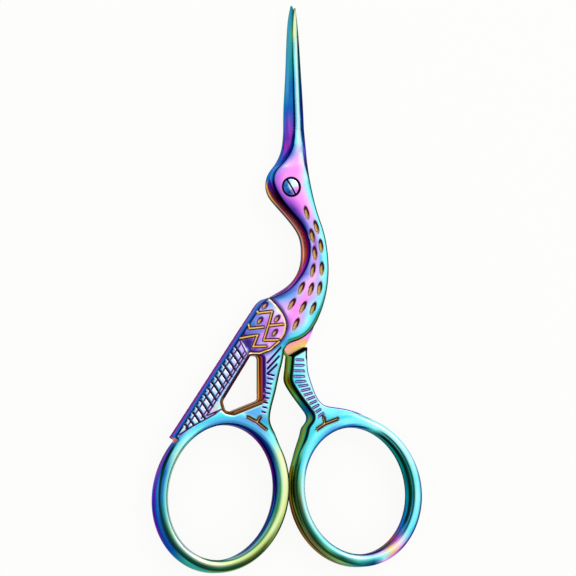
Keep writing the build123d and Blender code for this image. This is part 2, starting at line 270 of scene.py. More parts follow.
front_left = smooth(front_left_places)
front_right = smooth(front_right_places)
wing_edge = smooth(wing_places)
shoulder = smooth([wing_places[0]] + shoulder_places)
tail_side = straight([shoulder_places[-1], tail_end])
tail_notch = straight([tail_end, left_ring.outer_point(tail_end_angle)])
left_ring_outside = arc_of(left_ring.outer_point, tail_end_angle, left_foot_angle + 360)
left_leg_side = smooth([wing_places[-1]] + leg_points(left_leg_shares) + [left_foot])
front_loop = joined(
    front_left, shoulder, tail_side, tail_notch, left_ring_outside, left_leg_side[::-1],
    front_right[::-1], straight([front_tip_right, front_tip]),
)
left_hole = joined(arc_of(lambda angle: left_ring.point(angle, -ring_bar / 2), 0, 360))

# %% Edges of the lower half
rear_tip = blade_points([rear_tip_shares])[0]
rear_tip_right = (rear_tip[0] + tip_width, rear_tip[1])
rear_wing_places = moved(wing_places, (body_clearance, 0))
leg_left_places = leg_points(right_leg_left_shares)
leg_right_places = leg_points(right_leg_right_shares)
right_foot = right_ring.outer_point(right_foot_angle)
right_top = right_ring.outer_point(right_top_angle)
rear_left_places = [rear_tip] + blade_points(rear_spine_shares) + head_points(rear_head_shares)
rear_left_places += neck_points(rear_throat_shares) + [rear_wing_places[0]]
rear_right_places = [rear_tip_right] + blade_points(rear_edge_shares)
rear_right_places += moved(head_points(nape_shares) + neck_points(neck_back_shares), rear_shift)
rear_right_places += neck_points(hip_shares) + [leg_right_places[1]]

rear_left = smooth(rear_left_places)
rear_right = smooth(rear_right_places)
rear_wing_edge = smooth(rear_wing_places + [leg_left_places[0]])
right_leg_left = smooth(leg_left_places + [right_foot])
right_leg_right = smooth(leg_right_places[1:] + [right_top])
right_ring_outside = arc_of(right_ring.outer_point, right_foot_angle, right_top_angle + 360)
step_line = straight([leg_left_places[0], leg_right_places[0], leg_right_places[1]])
rear_loop = joined(
    rear_left, rear_wing_edge, right_leg_left, right_ring_outside, right_leg_right[::-1],
    rear_right[::-1], straight([rear_tip_right, rear_tip]),
)
right_hole = joined(arc_of(lambda angle: right_ring.point(angle, -ring_bar / 2), 0, 360))
print("outline samples", len(front_loop), len(rear_loop))


# %% [markdown]
# The window between tail and leg has rounded corners. Each corner of its outline is cut back by the
# radius's tangent length and joined by an arc.

# %% Window outline
def rounded(corners, radius):
    """A closed polygon with an arc of this radius in place of every corner."""
    corners = np.array(corners, float)
    row = []
    for i, corner in enumerate(corners):
        before = corners[i - 1] - corner
        after = corners[(i + 1) % len(corners)] - corner
        before /= np.linalg.norm(before)
        after /= np.linalg.norm(after)
        half = math.acos(np.clip(before @ after, -1, 1)) / 2
        middle = corner + (before + after) / np.linalg.norm(before + after) * radius / math.sin(half)
        start = corner + before * radius / math.tan(half) - middle
        end = corner + after * radius / math.tan(half) - middle
        for t in np.linspace(0, 1, 6):
            way = start * (1 - t) + end * t
            row.append(middle + way / np.linalg.norm(way) * radius)
    return np.array(row + row[:1])


window = joined(straight(rounded(leg_points(window_shares), window_corner), 0.25))
print("window samples", len(window))


# %% [markdown]
# A half is built as a relief: one triangulated drawing of its outline, used once for the upper face
# and once, turned over, for the lower face, with rows of wall faces between them. This keeps the mesh closed
# by construction. The drawing needs points where the surface bends: rows that follow every edge,
# rows along each groove, rings round each dimple, and an even fill between them.

# %% Distances in the drawing
def distance_to(points, line, closed=False):
    """Distance from many points to a polyline."""
    ends = np.roll(line, -1, axis=0) if closed else line[1:]
    starts = line if closed else line[:-1]
    runs = ends - starts
    lengths = np.maximum(np.sum(runs ** 2, axis=1), 1e-12)
    best = np.full(len(points), 1e9)
    for first in range(0, len(points), 4000):
        block = points[first:first + 4000]
        away = block[:, None] - starts[None]
        t = np.clip(np.sum(away * runs, axis=2) / lengths, 0, 1)
        gap = away - t[..., None] * runs
        best[first:first + 4000] = np.sqrt(np.min(np.sum(gap ** 2, axis=2), axis=1))
    return best


def inside(points, loop):
    """True for the points inside a closed loop."""
    result = np.zeros(len(points), bool)
    ends = np.roll(loop, -1, axis=0)
    for (x1, y1), (x2, y2) in zip(loop, ends):
        if y1 == y2:
            continue
        crosses = (y1 > points[:, 1]) != (y2 > points[:, 1])
        reach = x1 + (points[:, 1] - y1) * (x2 - x1) / (y2 - y1)
        result ^= crosses & (points[:, 0] < reach)
    return result


def beside(line, offset, step=0.25):
    """A row of points at an offset to the left of a polyline."""
    line = evenly(np.array(line, float), step)
    way = np.gradient(line, axis=0)
    way /= np.linalg.norm(way, axis=1)[:, None]
    return line + offset * np.column_stack([-way[:, 1], way[:, 0]])


# %% Points of the drawing
rim_rows = [0.05, 0.12, 0.2, 0.29, 0.39, 0.5, 0.62, 0.76, 0.92, 1.1, 1.28]
fill_step = 0.34
feature_gap = 0.05
point_gap = 0.1
edge_clearance = 0.03
merge_distance = 1e-6


def rim_points(loop, loops):
    """Rows of points inside an edge that follow it at growing distances."""
    way = np.roll(loop, -1, axis=0) - np.roll(loop, 1, axis=0)
    way /= np.linalg.norm(way, axis=1)[:, None]
    inward = np.column_stack([-way[:, 1], way[:, 0]])
    rows = [loop + gap * inward for gap in rim_rows]
    wanted = np.repeat(rim_rows, len(loop))
    points = np.vstack(rows)
    found = np.min([distance_to(points, other, True) for other in loops], axis=0)
    return points[found > 0.97 * wanted]


def hex_fill(low, high, step):
    """An even fill of a rectangle in staggered rows."""
    rows = []
    for index, y in enumerate(np.arange(low[1], high[1], step * 0.866)):
        x = np.arange(low[0] + (index % 2) * step / 2, high[0], step)
        rows.append(np.column_stack([x, np.full(len(x), y)]))
    return np.vstack(rows)


def thinned(groups, gap):
    """All groups as one list, without points that crowd a point of an earlier group."""
    kept = groups[0]
    for group in groups[1:]:
        tree = KDTree(len(kept))
        for i, (x, y) in enumerate(kept):
            tree.insert((x, y, 0), i)
        tree.balance()
        free = [tree.find((x, y, 0))[2] > gap for x, y in group]
        kept = np.vstack([kept, group[np.array(free)]])
    return kept


# %% Triangles of the drawing
def triangulate(outer, holes, features):
    """Points, triangles and edge loops of a drawing with holes."""
    loops = [outer] + [hole[::-1] for hole in holes]
    spots = [features] if len(features) else []
    fill = hex_fill(outer.min(axis=0), outer.max(axis=0), fill_step)
    fill = fill[inside(fill, outer)]
    for hole in holes:
        fill = fill[~inside(fill, hole)]
    clear = np.min([distance_to(fill, loop, True) for loop in loops], axis=0)
    rims = np.vstack([rim_points(loop, loops) for loop in loops])
    points = thinned(spots + [rims, fill[clear > rim_rows[-1] + point_gap]], point_gap)
    near = np.min([distance_to(points, loop, True) for loop in loops], axis=0)
    keep = inside(points, outer) & (near > edge_clearance)
    for hole in holes:
        keep &= ~inside(points, hole)
    every = np.vstack(loops + [points[keep]])
    edges = []
    start = 0
    for loop in loops:
        edges += [(start + i, start + (i + 1) % len(loop)) for i in range(len(loop))]
        start += len(loop)
    made = delaunay_2d_cdt([tuple(p) for p in every], edges, [], 1, merge_distance, True)
    spots = np.array([tuple(p) for p in made[0]])
    place = {}
    for index, sources in enumerate(made[3]):
        for source in sources:
            place[source] = index
    triangles = np.array([face for face in made[2] if len(face) == 3])
    middles = spots[triangles].mean(axis=1)
    keep = inside(middles, outer)
    for hole in holes:
        keep &= ~inside(middles, hole)
    rows = []
    start = 0
    for loop in loops:
        rows.append([place[start + i] for i in range(len(loop))])
        start += len(loop)
    return spots, triangles[keep], rows


# %% [markdown]
# From drawing to body. Both faces get their height from a rule, and the walls join them. The walls
# carry a depth from 0 at the upper edge to 1 at the lower one, which the coating's colours use later.

# %% Raise a relief
wall_shares = [0.0, 0.05, 0.11, 0.18, 0.26, 0.35, 0.44, 0.53, 0.62, 0.7, 0.78, 0.86, 0.93, 1.0]


def raise_relief(drawing, top, bottom):
    """Vertices, faces and each vertex's place: face (1 top, 0 wall, -1 bottom), depth and drawing point."""
    spots, triangles, rows = drawing
    count = len(spots)
    used = np.zeros(count, bool)
    used[triangles.ravel()] = True
    vertices = [np.column_stack([spots, top]), np.column_stack([spots, bottom])]
    kind = [np.ones(count), -np.ones(count)]
    depth = [np.zeros(count), np.ones(count)]
    faces = [tuple(t) for t in triangles] + [tuple(t[::-1] + count) for t in triangles]
    start = 2 * count
    for row in rows:
        row = np.array(row)
        layers = [row]
        for share in wall_shares[1:-1]:
            z = top[row] * (1 - share) + bottom[row] * share
            vertices.append(np.column_stack([spots[row], z]))
            kind.append(np.zeros(len(row)))
            depth.append(np.full(len(row), share))
            layers.append(start + np.arange(len(row)))
            start += len(row)
        layers.append(row + count)
        for upper, lower in zip(layers[:-1], layers[1:]):
            for i in range(len(row)):
                j = (i + 1) % len(row)
                faces.append((lower[i], lower[j], upper[j], upper[i]))
    vertices = np.vstack(vertices)
    kind = np.concatenate(kind)
    depth = np.concatenate(depth)
    whole = np.concatenate([used, used, np.ones(len(vertices) - 2 * count, bool)])
    number = np.cumsum(whole) - 1
    faces = [tuple(int(number[i]) for i in face) for face in faces]
    return vertices[whole], faces, kind[whole], depth[whole]


def mesh_object(name, vertices, faces):
    """A plain mesh object at the origin, from millimetres."""
    mesh = bpy.data.meshes.new(name)
    mesh.from_pydata((vertices * MM).tolist(), [], faces)
    mesh.validate()
    mesh.shade_smooth()
    mesh.set_sharp_from_angle(angle=math.radians(50))
    obj = bpy.data.objects.new(name, mesh)
    bpy.context.scene.collection.objects.link(obj)
    return obj


# %% [markdown]
# The pressed decoration: dimples down the neck, grooves between the wing's feathers,
# ribs across the tail and bands round the legs. Each is a list of places and a rule for its depth.

# %% Places of the decoration
dimple_length = 2.5
dimple_width = 0.92
dimple_depth = 0.3
feather_length = 1.6
feather_width = 0.85
feather_lean = -40.0
groove_width = 0.42
groove_depth = 0.28
bar_width = 0.46
bar_depth = 0.15
stroke_width = 0.38
rib_width = 0.6
rib_outer_end = 0.2
rib_inner_end = 2.85
rib_pitch = 1.48
tail_line_width = 0.3
tail_line_depth = 0.14
rib_inset = 1.55
rib_angle = -55.0
rib_count = 14
tail_end_plain = 2.6
dimple_shares = [
    (0.4, 0.157), (0.657, 0.2425), (0.547, 0.296), (0.778, 0.358), (0.615, 0.403), (0.8, 0.497),
    (0.562, 0.51), (0.742, 0.619), (0.514, 0.626), (0.26, 0.62), (0.007, 0.72), (0.3, 0.738),
    (0.57, 0.743), (0.116, 0.843),
]
dimple_leans = [14, 16, 12, 6, 5, -3, -13, -12, -19, -27, -34, -30, -24, -27]
feather_shares = [(-0.827, 0.826), (-0.381, 0.8115), (-0.439, 0.8977), (-0.692, 0.733)]
wing_groove_shares = [
    [(-0.885, 0.765), (-0.86, 0.779), (-0.5, 0.7665), (-0.607, 0.856), (-0.23, 0.844)],
    [(-0.607, 0.856), (-0.726, 0.945), (-0.33, 0.94)],
    [(-1.114, 0.8455), (-1.096, 0.875), (-0.735, 0.8645)],
    [(-1.333, 0.935), (-0.885, 0.914), (-1.004, 0.9855), (-0.665, 0.9816)],
    [(-0.314, 0.95), (-0.55, 0.999), (-0.818, 1.024), (-1.087, 1.025)],
]
left_leg_groove_shares = [
    [(-1.046, 0.216), (-0.462, -0.033)],
    [(-1.032, 0.307), (-0.544, 0.109)],
    [(-1.046, 0.388), (-0.64, 0.242)],
    [(-0.99, 0.397), (-0.766, 0.416)],
    [(-1.874, 1.081), (-1.49, 1.154), (-1.098, 1.267)],
    [(-1.49, 1.154), (-1.35, 1.076)],
]
right_leg_groove_shares = [
    [(1.12, 1.248), (1.454, 1.16), (2.008, 1.08)],
    [(1.454, 1.16), (1.41, 1.059)],
]


def bar_row(first, last, lengths, tilts, count):
    """Evenly spaced short bars between two places of a leg, each as its two ends."""
    rows = []
    for index in range(count):
        t = index / (count - 1)
        middle = leg_points([[a + (b - a) * t for a, b in zip(first, last)]])[0]
        half = (lengths[0] + (lengths[1] - lengths[0]) * t) * leg_reach / 2 - bar_width / 2
        tilt = math.radians(tilts[0] + (tilts[1] - tilts[0]) * t)
        dx = half * math.cos(tilt)
        dy = half * math.sin(tilt)
        rows.append([(middle[0] - dx, middle[1] - dy), (middle[0] + dx, middle[1] + dy)])
    return rows


left_leg_bars = bar_row((-0.92, 0.469), (-1.2, 0.998), (0.3, 0.26), (-10, -10), 8)
right_leg_bars = bar_row((0.36, 0.155), (0.34, 0.416), (0.4, 0.52), (0, 0), 4)
right_leg_bars += bar_row((0.4, 0.498), (1.28, 1.02), (0.48, 0.3), (5, 35), 9)

# %% Ribs and lines of the tail
tail_start = np.array(shoulder_places[-1])
tail_way = np.array(tail_end) - tail_start
tail_run = np.linalg.norm(tail_way)
tail_way = tail_way / tail_run
tail_inward = np.array([-tail_way[1], tail_way[0]])
rib_way = np.array([math.cos(math.radians(rib_angle)), math.sin(math.radians(rib_angle))])
rib_reach = rib_way @ tail_inward
tail_narrowing = 0.42


def tail_place(along, inset):
    """A place from its way down the tail's outer edge and its distance from that edge."""
    return tail_start + tail_way * along + tail_inward * inset


tail_ribs = []
for index in range(rib_count):
    along = tail_run - tail_end_plain - rib_pitch * (rib_count - 1 - index)
    middle = tail_place(along, rib_inset)
    inner = min(rib_inner_end, (tail_run - along) * tail_narrowing)
    first = middle + rib_way * (rib_outer_end - rib_inset) / rib_reach
    last = middle + rib_way * (inner - rib_inset) / rib_reach
    tail_ribs.append([first, last])
tail_lines = [
    [tail_place(4.4, 0.75), tail_place(tail_run - 2.4, 0.75)],
    [tail_place(5.0, 2.3), tail_place(tail_run - 6.0, 2.3)],
    [tail_place(5.3, 2.85), tail_place(tail_run - 7.0, 2.85), (-15.3, -45.6)],
    [tail_place(tail_run - 0.6, 0.3), (-21.2, -48.95), (-19.7, -48.2), (-16.7, -46.6), (-15.3, -45.6)],
    [tail_place(4.0, 0.3), tail_place(5.3, 2.85)],
]
print("ribs", len(tail_ribs), "bars", len(left_leg_bars) + len(right_leg_bars), "dimples", len(dimple_shares))


# %% [markdown]
# A groove shows three paints: its floor, painted shade on the wall that faces away from the light, and a
# painted highlight on the rim that catches the light. The light on pressed metal comes from the upper right,
# so every groove knows which way it looks. An outline, a dark line of painted shade round the cut, is three
# numbers: where the floor's paint ends, where the dark line ends, both as shares of the half width, and how
# strong the dark line is.

# %% Grooves and dimples with their own paints
light_way = np.array([1, 1]) / math.sqrt(2)
no_outline = (1.05, 1.0, 0.0)
outside_outline = (0.75, 1.8, 0.95)
foot_outline = (0.62, 2.0, 1.0)
inside_outline = (0.5, 1.1, 1.0)
groove_rows = (0.5, 0.8, 1.1, 1.6, 2.2)
dimple_rows = (
    (0.35, 8), (0.57, 16), (0.7, 22), (0.84, 24), (0.97, 26), (1.1, 28), (1.3, 30), (1.55, 32),
)


class Cut:
    """What every pressed cut has: its depth, its wall as a share of its width, and its paints."""

    def __init__(self, depth, wall, paints, outline=no_outline, shading=1.0, glint=0.5):
        self.depth = depth
        self.wall = wall
        self.paints = paints
        self.outline = outline
        self.shading = shading
        self.glint = glint


class Groove(Cut):
    """A round-bottomed groove along a polyline."""

    def __init__(self, line, width, depth, paints, **style):
        super().__init__(depth, 0.8, paints, **style)
        self.line = np.array(line, float)
        self.half = width / 2

    def points(self):
        shares = [0] + [side * share for share in groove_rows for side in (-1, 1)]
        return np.vstack([beside(self.line, share * self.half, 0.2) for share in shares])

    def place(self, points):
        """0 on the middle line and 1 on the rim, and how far a point lies to the light's side."""
        best = np.full(len(points), 1e9)
        toward = np.zeros(len(points))
        for start, end in zip(self.line[:-1], self.line[1:]):
            run = end - start
            t = np.clip((points - start) @ run / (run @ run), 0, 1)
            gap = points - start - t[:, None] * run
            length = np.linalg.norm(gap, axis=1)
            closer = length < best
            best = np.where(closer, length, best)
            toward = np.where(closer, gap @ light_way / np.maximum(length, 1e-6), toward)
        return best / self.half, toward


class Dimple(Cut):
    """An oval hollow."""

    def __init__(self, middle, width, length, lean, depth, paints, **style):
        super().__init__(depth, 0.42, paints, **style)
        self.middle = np.array(middle)
        self.width = width
        self.length = length
        self.turn = math.radians(lean)

    def points(self):
        rows = [self.middle[None]]
        for share, count in dimple_rows:
            angle = np.arange(count) * 2 * math.pi / count
            u = np.cos(angle) * self.width / 2 * share
            v = np.sin(angle) * self.length / 2 * share
            x = self.middle[0] + u * math.cos(self.turn) - v * math.sin(self.turn)
            y = self.middle[1] + u * math.sin(self.turn) + v * math.cos(self.turn)
            rows.append(np.column_stack([x, y]))
        return np.vstack(rows)

    def place(self, points):
        dx, dy = (points - self.middle).T
        u = (dx * math.cos(self.turn) + dy * math.sin(self.turn)) / (self.width / 2)
        v = (dy * math.cos(self.turn) - dx * math.sin(self.turn)) / (self.length / 2)
        away = np.column_stack([dx, dy])
        return np.hypot(u, v), away @ light_way / np.maximum(np.linalg.norm(away, axis=1), 1e-6)


# %% Depth and paint of the cuts
def relief_points(cuts):
    return [cut.points() for cut in cuts]


def relief_depth(cuts, points):
    """How deep all cuts together are at each point."""
    total = np.zeros(len(points))
    for cut in cuts:
        share, toward = cut.place(points)
        total = np.maximum(total, cut.depth * step_between(1 - share, 0, cut.wall))
    return total


def relief_paint(cuts, points, colour):
    """The paint in and round the cuts: painted highlight on the rim and the dark outline of painted shade
    first, then floor and painted shade on the wall.
    """
    placed = [(cut, *cut.place(points)) for cut in cuts]
    for cut, share, toward in placed:
        shade, light = (PAINT[name] for name in cut.paints[1:])
        end, strength = cut.outline[1:]
        bright = step_between(share, end - 0.1, end + 0.1) * (1 - step_between(share, end + 0.2, end + 0.5))
        colour = mix(colour, light, bright * np.clip(-1.5 * toward, 0, 1) * cut.glint)
        colour = mix(colour, shade, (1 - step_between(share, end, end + 0.3)) * strength)
    for cut, share, toward in placed:
        floor, shade = (PAINT[name] for name in cut.paints[:2])
        start = cut.outline[0]
        colour = mix(colour, floor, 1 - step_between(share, start - 0.25, start))
        dark = step_between(share, 0.35, 0.85) * (1 - step_between(share, 1.1, 1.35))
        colour = mix(colour, shade, dark * np.clip(0.45 + toward, 0, 1) * cut.shading)
    return colour


# %% Decoration of both halves
# Each cut's paints are its floor, its painted shade and its painted highlight; shading and glint set how
# strong the painted shade and the painted highlight are.
dimple_paints = ("old gold", "maroon", "white")
feather_paints = ("old gold", "plum", "cream")
wing_paints = ("pale gold", "maroon", "cream")
foot_paints = ("pale gold", "maroon", "ice")
rib_paints = ("maroon", "bright blue", "white")
tail_line_paints = ("mauve", "plum", "rose")
bar_paints = ("lilac", "indigo", "ice")
slant_paints = ("plum", "indigo", "rose")
faint_shading = 0.3
rib_shading = 0.75
strong_glint = 0.9


def grooves(lines, width, depth, paints, **style):
    return [Groove(line, width, depth, paints, **style) for line in lines]


neck_cuts = [
    Dimple(spot, dimple_width, dimple_length, lean, dimple_depth, dimple_paints, outline=(1.05, 1.06, 0.5))
    for spot, lean in zip(neck_points(dimple_shares), dimple_leans)
]
wing_cuts = [
    Dimple(spot, feather_width, feather_length, feather_lean, groove_depth, feather_paints,
           outline=(1.0, 1.15, 0.7))
    for spot in neck_points(feather_shares)
]
wing_lines = [neck_points(row) for row in wing_groove_shares]
slant_lines = [leg_points(row) for row in left_leg_groove_shares[:4]]
left_foot_lines = [leg_points(row) for row in left_leg_groove_shares[4:]]
right_foot_lines = [leg_points(row) for row in right_leg_groove_shares]
wing_style = {"outline": outside_outline, "shading": faint_shading}
foot_style = {"outline": foot_outline, "shading": faint_shading}
wing_cuts += grooves(wing_lines, groove_width, groove_depth, wing_paints, **wing_style)
left_leg_cuts = grooves(slant_lines, stroke_width, groove_depth, slant_paints, glint=strong_glint)
left_leg_cuts += grooves(left_foot_lines, groove_width, groove_depth, foot_paints, **foot_style)
left_leg_cuts += grooves(left_leg_bars, stroke_width, bar_depth, slant_paints, glint=strong_glint)
tail_cuts = grooves(tail_lines, tail_line_width, tail_line_depth, tail_line_paints)
tail_cuts += grooves(tail_ribs, rib_width, groove_depth, rib_paints, shading=rib_shading, glint=strong_glint)
right_leg_cuts = grooves(right_foot_lines, groove_width, groove_depth, foot_paints, **foot_style)
right_leg_cuts += grooves(right_leg_bars, bar_width, bar_depth, bar_paints, outline=inside_outline, shading=0)
front_cuts = neck_cuts + tail_cuts + wing_cuts + left_leg_cuts
front_under_cuts = tail_cuts + wing_cuts + left_leg_cuts

# %% Arc of the wing
wing_arc = smooth([
    (-4.81, -22.72), (-3.0, -24.5), (-1.75, -26.2), (-1.2, -27.7), (-1.33, -29.38), (-2.59, -31.49),
    (-4.53, -33.11), (-6.75, -33.94), (-8.97, -33.97),
])
wing_outline = np.vstack([wing_arc, [(-11.2, -31.2), (-9.14, -28.13), (-7.9, -26.4), (-6.6, -24.6)]])
arc_step_width = 1.3
arc_step_depth = 0.26


def arc_cut(points):
    """The body sinks a little just outside the wing's arc."""
    gap = distance_to(points, wing_arc)
    outside = ~inside(points, wing_outline)
    sink = arc_step_depth * np.clip(1 - gap / arc_step_width, 0, 1) ** 1.6
    return np.where(outside, sink * np.clip(gap / 0.06, 0, 1), 0)


# %% [markdown]
# The blades are hollow ground. Across each blade run a cutting edge, a ridge and a spine, and their places
# and heights change along it, so the height anywhere is a blend between two neighbouring sections. A row is
# the section's place up the blade, then the places and the heights of edge, ridge and spine, as shares.

# %% Facets of the blades
front_facet_shares = [
    (1.03, 0.41, 0.45, 0.5, 0.03, 0.22, 0.1),
    (0.87, 0.335, 0.505, 0.64, 0.05, 0.4, 0.18),
    (0.61, 0.38, 0.56, 0.83, 0.08, 0.57, 0.3),
    (0.32, 0.44, 0.65, 0.985, 0.13, 0.73, 0.45),
    (0.2, 0.09, 0.765, 1.03, 0.6, 0.9, 0.85),
    (0.1, -0.85, 1.01, 1.09, 1.02, 1.04, 1.03),
]
rear_facet_shares = [
    (1.03, 0.35, 0.3, 0.24, 0.03, 0.22, 0.12),
    (0.87, 0.44, 0.22, 0.04, 0.05, 0.4, 0.2),
    (0.61, 0.515, 0.2, -0.068, 0.08, 0.57, 0.3),
    (0.32, 0.56, 0.15, -0.17, 0.13, 0.73, 0.42),
    (0.2, 0.9, -0.05, -0.25, 0.6, 0.9, 0.78),
    (0.1, 1.0, -0.5, -0.9, 1.02, 1.04, 1.03),
]


def across_facets(points, rows):
    """How far each point lies across the two facets, and the heights of edge, ridge and spine there."""
    table = np.array(rows[::-1])
    along = points[:, 1] / blade_length
    values = [np.interp(along, table[:, 0], table[:, k]) for k in range(1, 7)]
    edge, ridge, spine = [value * blade_width for value in values[:3]]
    first = np.clip((points[:, 0] - edge) / (ridge - edge), 0, 1)
    second = np.clip((points[:, 0] - ridge) / (spine - ridge), 0, 1)
    return first, second, values[3:]


def facet_height(points, rows):
    """Height of the ground blade above its ride face, as a share of a layer."""
    first, second, (low, mid, far) = across_facets(points, rows)
    return low + (mid - low) * first + (far - mid) * second


def blade_side(points, rows):
    """-1 on the cutting edge, 0 on the ridge and 1 on the spine."""
    first, second = across_facets(points, rows)[:2]
    return first - 1 + second


def ridge_line(rows):
    """The ridge of a blade as a polyline in the drawing."""
    return [(row[2] * blade_width, row[0] * blade_length) for row in rows]


def soft_least(a, b, blend):
    """The smaller of two heights, with a soft change between them."""
    share = np.clip(0.5 + (b - a) / (2 * blend), 0, 1)
    return b * (1 - share) + a * share - blend * share * (1 - share)


# %% [markdown]
# Polished edges are never sharp. Near an edge the surface drops along a quarter of a rounded oval,
# small on the body and as large as the bar itself on a finger ring.

# %% Edge rounding
def edge_drop(gap, reach, drop, power=2.2):
    """How far the surface has dropped at a distance from its edge."""
    share = np.clip(1 - gap / reach, 0, 1)
    return drop * (1 - (1 - share ** power) ** (1 / power))


def step_between(value, low, high):
    """A smooth change from 0 at low to 1 at high."""
    t = np.clip((value - low) / (high - low), 0, 1)
    return t * t * (3 - 2 * t)


def ring_share(points, ring):
    """1 on the bar of a finger ring, 0 on what joins it."""
    angle, outward = ring.locate(points)
    return 1 - step_between(outward, ring_bar / 2 - 0.2, ring_bar / 2 + 0.4)


body_edge = (0.45, 0.38)
ring_edge = (1.3, 1.45, 2.3)
crown_reach = 3.5
crown_drop = 0.12


def rounding(points, gap, ring, thickness):
    """Drop of a face near its edges, with the ring's and the body's own roundness blended."""
    ringness = ring_share(points, ring)
    slim = np.clip(thickness / layer_thickness, 0, 1)
    crown = crown_drop * np.clip(1 - gap / crown_reach, 0, 1) ** 2
    body = (edge_drop(gap, *body_edge) + crown) * slim
    return body * (1 - ringness) + edge_drop(gap, *ring_edge) * ringness


def plate_height(spots, facet_rows):
    """Thickness of the flat layer, hollow ground where it is a blade."""
    facet = facet_height(spots, facet_rows) * layer_thickness
    return np.minimum(soft_least(facet, np.full(len(spots), layer_thickness), 0.12), layer_thickness)


def thick_zone(spots, zone_rows, edges, step):
    """True where a half has its full thickness, outer edges included and the step's own line left out."""
    zone = np.vstack(zone_rows)
    full = inside(spots, joined(np.vstack([zone, zone[:1]])))
    full |= np.min([distance_to(spots, row) for row in edges], axis=0) < 0.01
    return full & (distance_to(spots, step) > 0.001)


# %% [markdown]
# The upper half. The screw's head sinks into a round recess, and below the wing's edge the half has the full
# thickness, so its lower face steps down there from the ride face to the table.

# %% Upper half drawing
screw_hole_radius = 1.14
recess_radius = 1.92
recess_floor = 4.0
ridge_offsets = (0.0, 0.06, -0.06)


def circle(radius, count):
    angle = np.arange(count) * 2 * math.pi / count
    return np.column_stack([np.cos(angle), np.sin(angle)]) * radius


front_features = [circle(recess_radius + offset, 72) for offset in (0, -0.03, 0.14, 0.2)]
front_features += relief_points(front_cuts)
front_features += [beside(wing_edge, offset) for offset in (0.02, -0.02)]
front_features += [beside(wing_arc, offset) for offset in (0.0, 0.08, -0.08, 0.2, -0.2)]
front_features += [beside(ridge_line(front_facet_shares), offset, 0.3) for offset in ridge_offsets]
front_features = thinned(front_features, feature_gap)
front_holes = [left_hole, window, circle(screw_hole_radius, 40)]
front_drawing = triangulate(front_loop, front_holes, front_features)
print("upper half drawing", len(front_drawing[0]), "points", len(front_drawing[1]), "triangles")

# %% Upper half body
spots = front_drawing[0]
front_gap = np.min([distance_to(spots, loop, True) for loop in (front_loop, left_hole, window)], axis=0)
zone_rows = [wing_edge, left_leg_side[1:], left_ring_outside[::-1], tail_side[::-1], shoulder[::-1]]
outer_edges = [shoulder, tail_side, tail_notch, left_ring_outside, left_leg_side]
front_full = thick_zone(spots, zone_rows, outer_edges, wing_edge)
plate = plate_height(spots, front_facet_shares)
radius = np.hypot(spots[:, 0], spots[:, 1])
top = upper_floor + plate
top -= rounding(spots, front_gap, left_ring, plate)
top -= np.maximum(relief_depth(front_cuts, spots), arc_cut(spots))
top -= edge_drop(np.abs(radius - recess_radius), 0.08, 0.06) * (radius > recess_radius - 0.01)
top = np.where(radius < recess_radius - 0.01, recess_floor, top)
bottom_relief = relief_depth(front_under_cuts, spots) + rounding(spots, front_gap, left_ring, plate)
bottom = np.where(front_full, bottom_relief, upper_floor)
front_vertices, front_faces, front_kind, front_depth = raise_relief(front_drawing, top, bottom)
front_half = mesh_object("front_half_forging", front_vertices, front_faces)
print("upper half", len(front_half.data.vertices), "vertices", len(front_half.data.polygons), "faces")

# %% [markdown]
# The lower half is its mirror in how it is made: a flat ride face on top, facets and dimples below,
# and the full thickness in its leg and finger ring.

# %% Lower half drawing
rear_features = relief_points(neck_cuts + right_leg_cuts)
step_offsets = (0.02, 0.1, 0.2, 0.32, 0.45, 0.6)
rear_features += [beside(step_line, side * offset) for offset in step_offsets for side in (-1, 1)]
rear_features += [beside(ridge_line(rear_facet_shares), offset, 0.3) for offset in ridge_offsets]
rear_features = thinned(rear_features, feature_gap)
rear_holes = [right_hole, circle(screw_hole_radius, 40)]
rear_drawing = triangulate(rear_loop, rear_holes, rear_features)
print("lower half drawing", len(rear_drawing[0]), "points", len(rear_drawing[1]), "triangles")

# %% Lower half body
spots = rear_drawing[0]
rear_gap = np.minimum(distance_to(spots, rear_loop, True), distance_to(spots, right_hole, True))
rear_step_gap = np.minimum(rear_gap, distance_to(spots, step_line))
zone_rows = [step_line, right_leg_right[1:], right_ring_outside[::-1], right_leg_left[::-1]]
outer_edges = [right_leg_left, right_ring_outside, right_leg_right]
rear_full = thick_zone(spots, zone_rows, outer_edges, step_line)
plate = plate_height(spots, rear_facet_shares)
top = np.where(
    rear_full,
    full_thickness - rounding(spots, rear_step_gap, right_ring, plate) - relief_depth(right_leg_cuts, spots),
    layer_thickness,
)
bottom = layer_thickness - plate + rounding(spots, rear_gap, right_ring, plate)
bottom += relief_depth(neck_cuts, spots) * (~rear_full) + relief_depth(right_leg_cuts, spots)
rear_vertices, rear_faces, rear_kind, rear_depth = raise_relief(rear_drawing, top, bottom)
back_half = mesh_object("back_half_forging", rear_vertices, rear_faces)
print("lower half", len(back_half.data.vertices), "vertices", len(back_half.data.polygons), "faces")
